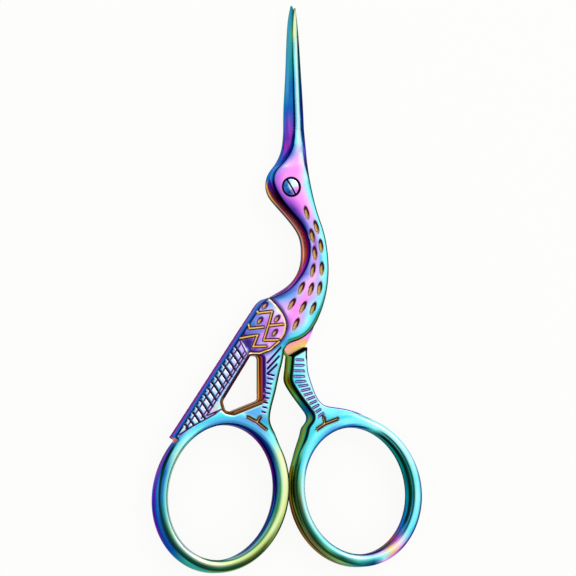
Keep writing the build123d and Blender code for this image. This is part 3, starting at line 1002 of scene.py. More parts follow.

# %% [markdown]
# The rainbow is a very thin oxide coating, and its colour depends on how thick it is at each spot.
# On the real scissors the colours drift along each half and change quickly from the flat faces to the walls.
# The paints hold more than that colour: the palest of them are painted highlights, and many dark lines
# are painted shade and painted reflections of the room, as the metal shows them from one side.
# We name the paints once, then place them in small tables: a row is a place along the piece, and
# its columns run across the face or down the wall.

# %% Paints of the coating, with its painted highlights and painted shade
PAINT_CODES = {
    "pale lime": "f2fac0", "lime": "cbe58a", "leaf": "7fb060", "moss": "4f6c32", "olive": "8a8c40",
    "dark olive": "3f461e", "jade": "35a694", "green": "4e9262", "pine": "1c5a40", "deep pine": "0c3428",
    "mint": "c5f2dc", "aqua": "7ee0e4", "sea": "229b98", "teal": "12707c", "dark teal": "0e4f58",
    "steel": "3b8fb4", "blue": "1a62b4", "bright blue": "3a83d0", "navy": "122f72", "ink": "0a1340",
    "cyan": "48dcf0", "sky": "86f6fb", "ice": "bdfcfc", "white": "e8fdfb", "azure": "62b2f0",
    "periwinkle": "7484e6", "iris": "4a5ac4", "lilac": "c9b4fa", "powder": "abd2fa", "pink": "fb98f8",
    "rose": "fbb9fb", "orchid": "cf72e4", "violet": "8e52c6", "purple": "6434aa", "indigo": "352778",
    "plum": "4c1c6c", "mauve": "863a90", "magenta": "9630b1", "raspberry": "8c3263", "brick": "a04c48",
    "coral": "f8ac98", "cream": "fdf6dc", "gold": "f0c470", "pale gold": "fce0a0", "old gold": "c09a58",
    "tan": "917048", "copper": "b8622c", "brown": "6a3c14", "maroon": "3a1620", "black": "0b0a14",
}
PAINT = {
    name: np.array([int(code[i:i + 2], 16) / 255 for i in (0, 2, 4)])
    for name, code in PAINT_CODES.items()
}


def named(text):
    return [PAINT[name.strip()] for name in text.split(",")]


def from_table(rows, columns, along, across, closed=False):
    """Paint between the rows and columns of a table of names, for many points."""
    rows = list(rows) + ([(360, rows[0][1])] if closed else [])
    table = np.array([named(text) for place, text in rows])
    row = np.interp(along, [place for place, text in rows], np.arange(len(rows)))
    column = np.interp(across, columns, np.arange(len(columns)))
    i = np.minimum(row.astype(int), len(rows) - 2)
    j = np.minimum(column.astype(int), len(columns) - 2)
    a = (row - i)[:, None]
    b = (column - j)[:, None]
    upper = table[i, j] * (1 - b) + table[i, j + 1] * b
    lower = table[i + 1, j] * (1 - b) + table[i + 1, j + 1] * b
    return upper * (1 - a) + lower * a


def from_places(places, points, sharpness=3.0):
    """Paint between freely placed spots, each as x, y and a name; the nearest spot counts most."""
    spots = np.array([place[:2] for place in places])
    table = np.array([PAINT[place[2]] for place in places])
    gaps = np.hypot(points[:, None, 0] - spots[:, 0], points[:, None, 1] - spots[:, 1])
    weights = 1 / (gaps + 0.35) ** sharpness
    return weights @ table / weights.sum(axis=1)[:, None]


def mix(a, b, share):
    """Paint a where the share is 0 and b where it is 1."""
    share = np.asarray(share, float)
    share = share[:, None] if share.ndim else share
    return a * (1 - share) + b * share


# %% Paint of the upper face, by place down the scissors
# Across the face the palest bands (white, ice, pale lime, mint) are painted highlights, and the dark bands at
# the edges are painted reflections; on the blade the dark side is painted shade on the facet that faces away
# from the light. The pinks, lilacs and blues between are the coating's colours.
face_columns = [-1, -0.75, -0.4, -0.08, 0.08, 0.4, 0.75, 1]
body_rows = [
    (0.0, "lime, pale lime, pale lime, pale lime, lime, leaf, leaf, olive"),
    (0.029, "leaf, pale lime, pale lime, white, leaf, green, green, pine"),
    (0.05, "leaf, pale lime, pale lime, mint, green, green, pine, deep pine"),
    (0.072, "cyan, cyan, white, white, pine, deep pine, deep pine, deep pine"),
    (0.093, "cyan, sky, white, ice, dark teal, dark teal, dark teal, dark teal"),
    (0.135, "cyan, cyan, white, ice, teal, navy, dark teal, teal"),
    (0.177, "cyan, cyan, white, ice, navy, navy, navy, navy"),
    (0.199, "cyan, cyan, white, ice, blue, navy, navy, indigo"),
    (0.22, "cyan, sky, white, ice, navy, navy, indigo, plum"),
    (0.241, "azure, cyan, white, ice, blue, navy, purple, mauve"),
    (0.262, "iris, periwinkle, lilac, rose, white, ice, purple, plum"),
    (0.283, "periwinkle, lilac, pink, pink, pink, rose, sky, indigo"),
    (0.304, "periwinkle, orchid, pink, pink, pink, rose, ice, teal"),
    (0.318, "violet, orchid, pink, pink, pink, rose, sky, teal"),
    (0.333, "purple, orchid, pink, pink, pink, rose, sky, teal"),
    (0.347, "purple, violet, orchid, pink, pink, rose, sky, steel"),
    (0.36, "indigo, purple, orchid, pink, pink, rose, sky, steel"),
    (0.389, "indigo, iris, lilac, lilac, lilac, powder, sky, aqua"),
    (0.417, "periwinkle, lilac, violet, lilac, powder, ice, sky, aqua"),
    (0.445, "periwinkle, lilac, orchid, lilac, azure, sky, sky, aqua"),
    (0.474, "iris, periwinkle, lilac, rose, lilac, ice, sky, jade"),
    (0.488, "iris, lilac, rose, rose, lilac, powder, sky, green"),
    (0.501, "iris, periwinkle, rose, pink, rose, powder, sky, green"),
    (0.516, "navy, azure, lilac, pink, pink, powder, sky, pine"),
    (0.529, "violet, lilac, pink, pink, lilac, ice, sky, deep pine"),
    (0.543, "indigo, rose, pink, pink, lilac, sky, cyan, deep pine"),
    (0.557, "indigo, orchid, pink, rose, lilac, ice, cyan, deep pine"),
    (0.571, "indigo, violet, lilac, lilac, powder, sky, cyan, pine"),
    (0.585, "violet, lilac, azure, azure, cyan, cyan, azure, pine"),
    (0.6, "sky, sky, azure, azure, blue, blue, dark teal, deep pine"),
]

# The dark strip along the blade's spine is painted shade.
spine_rows = [
    (0.15, "navy, navy"), (0.22, "indigo, navy"), (0.26, "purple, navy"), (0.285, "plum, ink"),
    (0.31, "dark teal, dark teal"), (0.5, "pine, dark teal"),
]

# %% Paint of the left walls, by place down the scissors, from the upper edge to the lower one
# In these tables black and ink are painted shade; the other bands are the coating's colours mixed with
# painted reflections of the room.
wall_columns = [0, 0.12, 0.35, 0.6, 0.85, 1]
front_left_rows = [
    (0.0, "dark olive, olive, olive, leaf, green, green"),
    (0.08, "deep pine, pine, pine, green, green, green"),
    (0.12, "ink, navy, navy, navy, blue, blue"),
    (0.262, "black, blue, bright blue, blue, bright blue, blue"),
    (0.28, "black, blue, bright blue, bright blue, azure, azure"),
    (0.305, "black, blue, bright blue, bright blue, azure, azure"),
    (0.318, "black, ink, indigo, violet, violet, violet"),
    (0.34, "black, black, ink, plum, plum, raspberry"),
    (0.4, "black, ink, plum, plum, raspberry, copper"),
    (0.45, "ink, indigo, magenta, magenta, copper, coral"),
    (0.48, "ink, indigo, magenta, magenta, orchid, mauve"),
    (0.51, "ink, violet, magenta, orchid, violet, iris"),
]
rear_left_rows = [
    (0.0, "steel, steel, teal, aqua, green, green"),
    (0.2, "blue, iris, steel, jade, aqua, green"),
    (0.25, "purple, purple, iris, purple, jade, teal"),
    (0.285, "bright blue, bright blue, bright blue, azure, blue, indigo"),
    (0.306, "blue, bright blue, bright blue, bright blue, blue, indigo"),
    (0.318, "indigo, plum, copper, gold, gold, black"),
    (0.335, "brick, copper, gold, gold, black, mint"),
    (0.36, "brick, brick, coral, maroon, teal, aqua"),
    (0.4, "raspberry, brick, coral, tan, dark teal, jade"),
    (0.44, "brick, coral, coral, brick, green, pine"),
    (0.475, "mauve, magenta, raspberry, copper, brick, pine"),
    (0.51, "indigo, magenta, purple, mauve, mauve, raspberry"),
]
tail_wall_rows = [
    (0.5, "ink, bright blue, bright blue, azure, violet, purple"),
    (0.6, "ink, blue, bright blue, violet, mauve, mauve"),
    (0.85, "ink, blue, bright blue, violet, mauve, mauve"),
]
right_leg_wall_rows = [
    (0.6, "deep pine, leaf, leaf, leaf, moss, black"),
    (0.645, "deep pine, green, leaf, olive, moss, black"),
    (0.662, "black, moss, brown, olive, dark olive, black"),
    (0.69, "black, deep pine, green, leaf, pine, deep pine"),
    (0.712, "ink, navy, teal, blue, teal, navy"),
    (0.73, "navy, sea, olive, leaf, teal, navy"),
    (0.76, "deep pine, jade, leaf, olive, green, dark teal"),
]
hidden_wall_rows = [
    (0.0, "green, green, jade, jade, pine, pine"),
    (0.2, "purple, indigo, blue, steel, teal, teal"),
    (0.3, "dark teal, teal, sea, steel, blue, navy"),
    (0.5, "pine, green, jade, sea, teal, dark teal"),
    (0.7, "indigo, violet, azure, cyan, steel, teal"),
]
back_ride_columns = [-1, -0.5, -0.2, 1]
back_ride_rows = [
    (0.0, "steel, steel, teal, teal"),
    (0.05, "steel, steel, jade, jade"),
    (0.1, "steel, steel, sea, teal"),
    (0.15, "bright blue, steel, blue, blue"),
    (0.18, "blue, blue, blue, blue"),
    (0.21, "iris, purple, violet, purple"),
    (0.235, "purple, purple, magenta, purple"),
    (0.25, "magenta, magenta, orchid, orchid"),
    (0.265, "iris, violet, violet, iris"),
    (0.285, "azure, azure, azure, azure"),
    (0.306, "bright blue, azure, azure, azure"),
    (0.318, "violet, violet, violet, violet"),
    (0.34, "brick, raspberry, magenta, plum"),
    (0.4, "coral, coral, coral, raspberry"),
    (0.44, "gold, coral, coral, coral"),
    (0.47, "orchid, orchid, orchid, orchid"),
    (0.5, "magenta, magenta, magenta, purple"),
]

# %% Paint of the rings, by angle, from the outer wall's foot over the top to the inner wall's foot
# In the ring tables the palest colours (white, ice, mint, pale lime) are painted highlights along the bar's
# top, and the darkest bands on its walls are painted reflections; the hues between are the coating's.
ring_columns = [-2.0, -1.6, -1.15, -0.75, -0.3, 0.25, 0.7, 1.05, 1.5, 2.0]
left_ring_rows = [
    (0, "dark olive, olive, moss, olive, lime, pale lime, leaf, teal, bright blue, magenta"),
    (30, "deep pine, pine, green, leaf, pale lime, pale lime, aqua, navy, indigo, mauve"),
    (45, "deep pine, pine, green, leaf, pale lime, pale lime, steel, navy, indigo, brick"),
    (60, "deep pine, pine, green, sky, sky, sky, blue, ink, indigo, brick"),
    (75, "cyan, cyan, cyan, cyan, azure, azure, bright blue, navy, purple, raspberry"),
    (90, "white, white, white, sky, azure, azure, bright blue, blue, iris, mauve"),
    (105, "white, white, sky, cyan, cyan, azure, blue, navy, iris, mauve"),
    (120, "sky, sky, sky, sky, cyan, azure, bright blue, blue, navy, iris"),
    (135, "cyan, cyan, sky, sky, cyan, sky, steel, teal, teal, blue"),
    (150, "blue, blue, blue, azure, sky, ice, aqua, pine, dark teal, teal"),
    (165, "mauve, violet, iris, blue, aqua, mint, mint, deep pine, pine, dark teal"),
    (180, "violet, violet, iris, bright blue, blue, aqua, mint, pine, mint, pine"),
    (195, "violet, purple, iris, bright blue, blue, aqua, mint, green, mint, pine"),
    (210, "purple, purple, blue, blue, teal, aqua, white, green, mint, teal"),
    (225, "violet, purple, blue, navy, pine, mint, white, green, sky, teal"),
    (240, "iris, blue, blue, navy, pine, white, white, sea, aqua, teal"),
    (255, "steel, sea, jade, jade, deep pine, mint, white, aqua, steel, blue"),
    (270, "jade, jade, jade, sea, deep pine, pale lime, pale lime, sky, blue, navy"),
    (285, "green, leaf, leaf, jade, pine, pale lime, pale lime, cyan, navy, blue"),
    (300, "olive, leaf, leaf, leaf, deep pine, lime, pale lime, steel, navy, blue"),
    (315, "tan, olive, olive, leaf, dark olive, lime, pale lime, blue, indigo, mauve"),
    (330, "brown, olive, leaf, leaf, dark olive, lime, lime, steel, blue, mauve"),
    (345, "dark olive, moss, olive, olive, leaf, pale lime, lime, steel, blue, magenta"),
]
right_ring_rows = [
    (0, "black, indigo, indigo, navy, sky, sky, jade, pine, teal, steel"),
    (15, "ink, indigo, iris, azure, ice, ice, sea, deep pine, sea, teal"),
    (30, "purple, violet, iris, azure, ice, ice, aqua, deep pine, sea, teal"),
    (45, "violet, violet, iris, cyan, ice, ice, sky, deep pine, sea, teal"),
    (60, "orchid, orchid, navy, sky, ice, ice, sky, sea, teal, teal"),
    (75, "sky, sky, sky, sky, sky, sky, cyan, blue, teal, blue"),
    (90, "cyan, cyan, cyan, cyan, sky, sky, cyan, blue, iris, indigo"),
    (105, "cyan, cyan, cyan, cyan, sky, azure, bright blue, blue, indigo, plum"),
    (120, "cyan, cyan, cyan, sky, sky, cyan, azure, blue, iris, plum"),
    (135, "pine, green, leaf, cyan, sky, sky, cyan, blue, indigo, mauve"),
    (150, "dark olive, olive, olive, green, cyan, ice, sky, navy, indigo, mauve"),
    (165, "moss, tan, olive, moss, green, ice, ice, navy, indigo, mauve"),
    (180, "maroon, tan, olive, moss, dark olive, ice, ice, ink, indigo, mauve"),
    (195, "maroon, tan, dark olive, moss, pine, ice, ice, navy, indigo, mauve"),
    (210, "tan, tan, tan, dark olive, pine, sky, ice, navy, indigo, plum"),
    (225, "tan, tan, olive, moss, green, sky, sky, blue, mauve, plum"),
    (240, "tan, olive, leaf, leaf, deep pine, sky, ice, azure, mauve, plum"),
    (255, "olive, leaf, sea, teal, jade, ice, ice, azure, mauve, plum"),
    (270, "sea, jade, teal, navy, teal, sky, lilac, navy, mauve, plum"),
    (280, "teal, blue, violet, rose, sky, ice, rose, ink, moss, plum"),
    (290, "raspberry, magenta, mauve, orchid, gold, cream, gold, navy, copper, brown"),
    (300, "mauve, mauve, plum, violet, rose, cream, orchid, mauve, copper, brick"),
    (315, "plum, indigo, navy, blue, cyan, sky, azure, blue, bright blue, purple"),
    (330, "ink, ink, navy, navy, sky, sky, azure, teal, steel, blue"),
    (345, "ink, ink, ink, navy, sky, ice, sea, dark teal, sea, steel"),
]


# %% Crisp lines round the rings, painted reflections on the bar's rounding: from and to angle, place across, half width and paint
left_ring_lines = [
    (150, 335, -0.6, 0.09, "deep pine"), (140, 262, 0.52, 0.06, "pine"), (145, 300, 0.93, 0.08, "dark teal"),
    (262, 400, 0.72, 0.07, "green"), (0, 60, 0.72, 0.06, "green"), (262, 350, -0.72, 0.06, "dark olive"),
    (55, 150, 0.62, 0.08, "steel"), (40, 150, 0.9, 0.1, "navy"), (300, 400, 1.2, 0.1, "navy"),
    (0, 140, 1.22, 0.1, "ink"), (0, 50, -0.75, 0.1, "deep pine"), (335, 400, -0.75, 0.1, "dark olive"),
    (280, 400, 1.75, 0.12, "plum"),
]
right_ring_lines = [
    (140, 262, -0.62, 0.08, "deep pine"), (60, 290, 0.9, 0.08, "navy"), (-60, 60, 0.62, 0.08, "dark teal"),
    (0, 75, -0.72, 0.07, "indigo"), (290, 400, -0.72, 0.08, "indigo"), (70, 300, 1.25, 0.09, "ink"),
    (70, 160, 0.62, 0.08, "bright blue"), (-50, 60, 1.0, 0.1, "deep pine"),
    (145, 270, -1.35, 0.1, "dark olive"),
]


# %% [markdown]
# Wing, tail and legs have no simple direction, so their paint is placed freely, spot by spot. The white and
# ice spots of the wing and the legs are painted highlights.

# %% Freely placed paint
def leg_paint(shares):
    return [(*leg_points([(u, v)])[0], name) for u, v, name in shares]


left_leg_paint = leg_paint([
    (-0.97, 0.17, "lilac"), (-0.54, 0.17, "sky"), (-0.89, 0.54, "sky"), (-0.62, 0.73, "sky"),
    (-1.06, 0.91, "sky"), (-1.54, 0.98, "azure"), (-2.24, 1.09, "bright blue"), (-2.71, 1.09, "white"),
    (-3.12, 1.01, "white"), (-3.47, 1.12, "sky"), (-3.98, 1.25, "cyan"), (-4.47, 1.38, "cyan"),
    (-4.77, 1.59, "sky"), (-0.97, 1.27, "cyan"), (-1.23, 1.27, "blue"), (-0.71, 1.55, "pale lime"),
    (-1.02, 1.51, "steel"), (-0.32, -0.09, "cyan"), (-0.2, 0.2, "azure"), (-1.15, 0.5, "periwinkle"),
])
right_leg_paint = leg_paint([
    (0.3, 0.16, "sky"), (0.6, 0.16, "ice"), (0.3, 0.48, "cyan"), (0.6, 0.48, "ice"), (0.75, 0.72, "ice"),
    (0.97, 0.96, "sky"), (0.7, 1.22, "cyan"), (0.94, 1.33, "cyan"), (1.68, 1.1, "cyan"),
    (2.46, 1.03, "sky"), (3.24, 1.14, "sky"), (1.68, 0.96, "sky"), (1.37, 0.84, "ice"), (1.9, 1.2, "azure"),
])
wing_paint = [
    (-4.9, -23.9, "azure"), (-7.2, -26.8, "periwinkle"), (-8.3, -28.5, "bright blue"), (-4.6, -25.0, "lilac"),
    (-2.9, -25.2, "white"), (-2.4, -26.9, "rose"), (-6.0, -26.2, "lilac"), (-5.3, -27.8, "orchid"),
    (-3.4, -27.8, "pink"), (-6.8, -29.4, "periwinkle"), (-6.0, -30.4, "pink"), (-4.1, -30.4, "violet"),
    (-2.9, -30.4, "rose"), (-9.3, -31.8, "indigo"), (-8.4, -33.2, "purple"), (-6.5, -32.3, "lilac"),
    (-4.8, -32.3, "rose"), (-6.0, -33.6, "purple"), (-4.5, -33.2, "violet"),
]
tail_columns = [-0.2, 0.0, 1.0, 2.1, 2.9, 3.6, 4.4]
tail_rows = [
    (0.0, "blue, periwinkle, lilac, lilac, rose, powder, azure"),
    (0.25, "blue, azure, white, lilac, powder, ice, azure"),
    (0.5, "blue, azure, white, powder, powder, ice, sky"),
    (0.75, "blue, azure, white, lilac, rose, coral, sky"),
    (0.9, "sky, mint, white, rose, coral, coral, sky"),
    (1.0, "sky, aqua, rose, coral, rose, sky, sky"),
]
window_columns = [0, 0.1, 0.3, 0.5, 0.62, 0.78, 0.92, 1]
window_rows = [
    (0.55, "plum, indigo, brown, green, jade, green, moss, black"),
    (0.62, "plum, purple, copper, brown, maroon, gold, maroon, gold"),
    (0.69, "plum, mauve, copper, brown, copper, gold, brown, gold"),
    (0.72, "maroon, brown, copper, brown, copper, brown, gold, cream"),
]
print("paints", len(PAINT))


# %% [markdown]
# Painting a half: every vertex knows if it lies on a face or a wall, how deep it lies in the wall, and how
# far it is from each edge, so the tables and the free spots can be read for all vertices at once.

# %% Named edges of both halves
def closed_line(loop):
    return np.vstack([loop, loop[:1]])


front_edges = {
    "left": front_left, "tail": np.vstack([shoulder, tail_side[1:], tail_notch[1:]]),
    "ring": left_ring_outside, "leg": left_leg_side, "right": front_right,
    "hole": closed_line(left_hole), "window": closed_line(window),
    "recess": closed_line(circle(recess_radius, 60)),
}
rear_edges = {
    "left": rear_left, "leg": np.vstack([rear_wing_edge, right_leg_left[1:]]),
    "ring": right_ring_outside, "outer leg": right_leg_right, "right": rear_right,
    "hole": closed_line(right_hole), "screw hole": closed_line(circle(screw_hole_radius, 40)),
}
front_walls = {
    "left": front_left_rows, "tail": tail_wall_rows, "leg": hidden_wall_rows, "right": hidden_wall_rows,
}
rear_walls = {
    "left": rear_left_rows, "screw hole": rear_left_rows, "leg": right_leg_wall_rows,
    "outer leg": hidden_wall_rows, "right": hidden_wall_rows,
}
window_left = np.array(leg_points([window_shares[0], window_shares[-1], window_shares[-2]]))
tail_top_line = np.array([tail_place(2.2, 0.1), tail_place(4.6, 3.9)])
tail_glint_line = np.array([(-10.9, -31.8), (-9.3, -34.0)])
print("edges", len(front_edges), "and", len(rear_edges))

# %% Lines along the edges, most of them painted reflections of their rounding: the paint, where it begins to fade and where it has gone, in millimetres
edge_lines = {
    "tail top": [("indigo", 0.12, 0.4)],
    # A painted highlight where the tail meets the wing.
    "tail glint": [("white", 0.1, 0.22)],
    # Painted shade in the sunk strip beside the raised wing and along its edge.
    "beside the wing": [("indigo", 0.2, 1.0)],
    "wing rim": [("maroon", 0.15, 0.3)],
    "wing border": [("gold", 0.3, 0.45)],
    # A painted highlight on the wing's upper rim.
    "wing glint": [("cream", 0.06, 0.14)],
    "left leg": [("green", 0.5, 0.7), ("deep pine", 0.35, 0.5), ("black", 0.12, 0.25)],
    "front right": [("dark teal", 0.26, 0.46)],
    "belly": [("pine", 0.75, 0.95), ("green", 0.6, 0.75), ("black", 0.25, 0.4)],
    "window": [("indigo", 0.25, 0.45)],
    "window left": [("indigo", 0.72, 0.9), ("maroon", 0.6, 0.72)],
    # The sill's ice band is a painted highlight.
    "sill": [
        ("ice", 0.95, 1.15), ("maroon", 0.76, 0.88), ("brown", 0.6, 0.72), ("tan", 0.3, 0.42),
        ("brown", 0.1, 0.2),
    ],
    "notch": [("coral", 0.35, 0.8)],
    "shelf end": [("coral", 0.2, 1.0)],
    # Painted shade in the step under the wing's edge.
    "shelf step": [("black", 0.06, 0.16)],
    "right leg": [("deep pine", 0.3, 0.5), ("black", 0.1, 0.25)],
    "outer leg": [("indigo", 0.2, 0.4), ("orchid", 0.05, 0.2)],
    # Painted shade along the leg's step.
    "leg step": [("black", 0.4, 0.58)],
}
shelf_bands = [("gold", 0.1, 0.35), ("coral", 0.9, 1.5), ("pink", 1.6, 2.3)]
left_edge_rows = [(0, "olive, olive"), (0.05, "leaf, leaf"), (0.09, "ink, ink")]
spine_strip = [(0.15, 0.3), (0.22, 0.66), (0.262, 0.9), (0.283, 0.8), (0.304, 0.42), (0.32, 0.34)]
print("edge lines", sum(len(lines) for lines in edge_lines.values()))

# %% [markdown]
# One paint gives way to the next over a short stretch. Each stretch here is a begin and an end in
# millimetres down from the pivot. The glint on the wing fades in upward instead, the rings keep their own
# paint below their top, and on the slim blade the edge lines have a smaller share of their width.

# %% Places where the paint changes
head_start = (-9.5, -6.5)
left_leg_start = (31.0, 33.0)
right_leg_under_start = (31.5, 33.5)
shelf_start = (28.0, 30.0)
belly_start = (24.0, 28.0)
sill_start = (43.0, 44.0)
wing_glint_heights = (-31, -26)
ring_top = -46
slim_height = 9
slim_share = 0.4
tail_paint_start = 4
tail_paint_width = 4.2
tail_paint_bottom = -52


# %% Helpers of the painters
def down_object(points):
    """Share of the object's length from the tips."""
    return (blade_length - points[:, 1]) / object_length


def edge_gaps(points, edges):
    """How far every point is from each named edge, and the name of its nearest one."""
    gaps = {name: distance_to(points, line) for name, line in edges.items()}
    return gaps, np.array(list(gaps))[np.argmin(list(gaps.values()), axis=0)]


def lined(colour, gap, place, share=1.0):
    """Lines along an edge, mostly painted reflections where its rounding reflects other sides of the room;
    some are painted shade and painted highlights.
    """
    for name, inner, outer in edge_lines[place]:
        colour = mix(colour, PAINT[name], (1 - step_between(gap, inner, outer)) * share)
    return colour


def ring_paint(ring, rows, lines, points, kind, depth, on_hole):
    """The ring's table with its painted highlights, and its crisp lines of painted reflection over it, fading
    in and out along the ring.
    """
    angle, outward = ring.locate(points)
    across = np.clip(-outward / (ring_bar / 2), -1, 1)
    across = np.where(kind == 0, np.where(on_hole, 1, -1) * (1.05 + 0.95 * depth), across)
    colour = from_table(rows, ring_columns, angle, across, closed=True)
    for start, end, place, half, name in lines:
        turned = (angle - start) % 360 + start
        reach = step_between(turned, start, start + 15) * (1 - step_between(turned, end - 15, end))
        colour = mix(colour, PAINT[name], (1 - step_between(np.abs(across - place), half, 2 * half)) * reach)
    return colour


def wall_paint(nearest, walls, ring, down, depth):
    """Each wall has the table of its edge, and the ring's own paint round the ring and its hole."""
    wall = ring
    for name, rows in walls.items():
        wall = np.where((nearest == name)[:, None], from_table(rows, wall_columns, down, depth), wall)
    return wall


# %% Face of the upper half: body, tail and wing
def upper_body(points, gaps, down):
    """The body's table, read across the facets on the blade and between both edges below it."""
    left = np.minimum(gaps["left"], distance_to(points, wing_arc))
    side = (left - gaps["right"]) / (left + gaps["right"] + 1e-9)
    onto_head = step_between(-points[:, 1], *head_start)
    side = blade_side(points, front_facet_shares) * (1 - onto_head) + side * onto_head
    return from_table(body_rows, face_columns, down, side)


def with_tail(face, points):
    along = (points - tail_start) @ tail_way
    inset = (points - tail_start) @ tail_inward
    run = (along - tail_paint_start) / (tail_run - tail_paint_start)
    tail = from_table(tail_rows, tail_columns, run, inset)
    lower_end = (tail_run + 0.4 - along) * tail_narrowing
    in_tail = (along > tail_paint_start + 0.5 * inset) & (inset < tail_paint_width)
    in_tail &= (inset < lower_end) & (points[:, 1] > tail_paint_bottom)
    return np.where(in_tail[:, None], tail, face)


def with_wing(face, points):
    in_wing = inside(points, wing_outline)
    face = np.where(in_wing[:, None], from_places(wing_paint, points), face)
    face = lined(face, distance_to(points, tail_top_line), "tail top", 0.8)
    # A painted highlight where the tail meets the wing.
    face = lined(face, distance_to(points, tail_glint_line), "tail glint")
    arc_gap = distance_to(points, wing_arc)
    # Painted shade in the sunk strip beside the raised wing and along its edge.
    face = lined(face, arc_gap, "beside the wing", np.where(in_wing, 0, 0.8))
    face = lined(face, arc_gap, "wing rim", np.where(in_wing, 0, 1))
    face = lined(face, arc_gap, "wing border", np.where(in_wing, 1, 0))
    # A painted highlight on the wing's upper rim.
    glint = step_between(points[:, 1], *wing_glint_heights) * in_wing
    return lined(face, np.abs(arc_gap - 0.2), "wing glint", glint)


# %% Face of the upper half: its edges
def with_upper_edges(face, points, gaps, down):
    x, y = points.T
    slim = np.where(y > slim_height, slim_share, 1.0)
    # The colours next to the edges are painted reflections of their rounding.
    left_edge = from_table(left_edge_rows, [0, 1], down, x * 0)
    left_gap = np.minimum(gaps["left"], gaps["tail"]) / slim
    face = mix(face, left_edge, 1 - step_between(left_gap, 0.06, 0.24))
    face = lined(face, gaps["leg"], "left leg")
    face = lined(face, gaps["right"] / slim, "front right")
    # The dark strip along the blade's spine is painted shade.
    strip = gaps["right"] / np.interp(down, *zip(*spine_strip))
    strip_reach = (1 - step_between(strip, 0.85, 1.1)) * step_between(down, 0.15, 0.2)
    face = mix(face, from_table(spine_rows, [0, 1], down, strip), strip_reach)
    face = lined(face, gaps["right"], "belly", step_between(-y, *belly_start) * (x > -0.6))
    face = lined(face, gaps["window"], "window")
    return lined(face, distance_to(points, window_left), "window left")


# %% Paint the upper half
def paint_upper_half(vertices, kind, depth):
    points = vertices[:, :2]
    x, y = points.T
    down = down_object(points)
    gaps, nearest = edge_gaps(points, front_edges)
    on_hole = nearest == "hole"
    ring = ring_paint(left_ring, left_ring_rows, left_ring_lines, points, kind, depth, on_hole)
    face = upper_body(points, gaps, down)
    legs = from_places(left_leg_paint, points)
    face = mix(face, legs, step_between(-y, *left_leg_start) * (x < 1))
    face = with_wing(with_tail(face, points), points)
    face = with_upper_edges(face, points, gaps, down)
    face = mix(face, ring, ring_share(points, left_ring) * (y < ring_top))
    face = lined(face, gaps["window"], "sill", step_between(-y, *sill_start))
    face = relief_paint(front_cuts, points, face)
    # The screw's recess and a thin ring at its rim are painted black: painted shade.
    face = np.where((np.hypot(x, y) < recess_radius + 0.15)[:, None], PAINT["black"], face)
    wall = wall_paint(nearest, front_walls, ring, down, depth)
    window_wall = from_table(window_rows, window_columns, down, depth)
    wall = np.where((nearest == "window")[:, None], window_wall, wall)
    # The recess wall is painted black as painted shade.
    wall = np.where((nearest == "recess")[:, None], PAINT["black"], wall)
    notch = np.hypot(*(points - np.array(left_ring.outer_point(tail_end_angle))).T)
    return np.where((kind == 0)[:, None], lined(wall, notch, "notch"), face)


# %% Paint the lower half
def shelf_paint(points, step_gap):
    """The bright shelf under the wing's edge, with a line of painted shade along its step."""
    shelf = PAINT["cream"][None]
    for name, inner, outer in shelf_bands:
        shelf = mix(shelf, PAINT[name], step_between(step_gap, inner, outer))
    return lined(lined(shelf, points[:, 0], "shelf end"), step_gap, "shelf step")


def paint_lower_half(vertices, kind, depth):
    points = vertices[:, :2]
    x, y = points.T
    down = down_object(points)
    gaps, nearest = edge_gaps(points, rear_edges)
    on_hole = nearest == "hole"
    ring = ring_paint(right_ring, right_ring_rows, right_ring_lines, points, kind, depth, on_hole)
    side = (gaps["left"] - gaps["right"]) / (gaps["left"] + gaps["right"] + 1e-9)
    step_gap = distance_to(points, step_line)
    ride = from_table(back_ride_rows, back_ride_columns, down, side)
    ride = mix(ride, shelf_paint(points, step_gap), step_between(-y, *shelf_start))
    legs = from_places(right_leg_paint, points)
    legs = lined(legs, gaps["leg"], "right leg")
    legs = lined(legs, gaps["outer leg"], "outer leg")
    # Painted shade along the leg's step.
    legs = lined(legs, step_gap, "leg step")
    legs = mix(legs, ring, ring_share(points, right_ring) * (y < ring_top))
    legs = relief_paint(right_leg_cuts, points, legs)
    high = vertices[:, 2] > layer_thickness + 0.02
    face = np.where(high[:, None], legs, ride)
    under = from_table(body_rows, face_columns, down, -blade_side(points, rear_facet_shares))
    neck_under = relief_paint(neck_cuts, points, from_table(body_rows, face_columns, down, side))
    under = mix(under, neck_under, step_between(-y, *head_start))
    under = mix(under, legs, step_between(-y, *right_leg_under_start))
    face = np.where((kind < 0)[:, None], under, face)
    return np.where((kind == 0)[:, None], wall_paint(nearest, rear_walls, ring, down, depth), face)


# %% Store the paint on the mesh
def to_linear(colour):
    colour = np.clip(colour, 0, 1)
    return np.where(colour <= 0.04045, colour / 12.92, ((colour + 0.055) / 1.055) ** 2.4)


def store_film_and_light(obj, colour):
    """The paint, the coating's colours with painted highlights and painted shade, as a colour on every
    vertex.
    """
    layer = obj.data.attributes.new("film_and_light", "FLOAT_COLOR", "POINT")
    values = np.ones((len(colour), 4), np.float32)
    values[:, :3] = to_linear(colour)
    layer.data.foreach_set("color", values.ravel())


# The stored paint holds painted highlights, painted reflections and painted shade as well as the coating's
# colours.
store_film_and_light(front_half, paint_upper_half(front_vertices, front_kind, front_depth))
store_film_and_light(back_half, paint_lower_half(rear_vertices, rear_kind, rear_depth))
print("painted", len(front_vertices) + len(rear_vertices), "vertices")

# %% [markdown]
# The pivot screw is turned from a rod, domed, and has one sawn slot. Those are exact forms with a few sizes,
# so it is a Geometry Nodes tree: two cylinders, a rule that domes the head, and a box that cuts the slot.

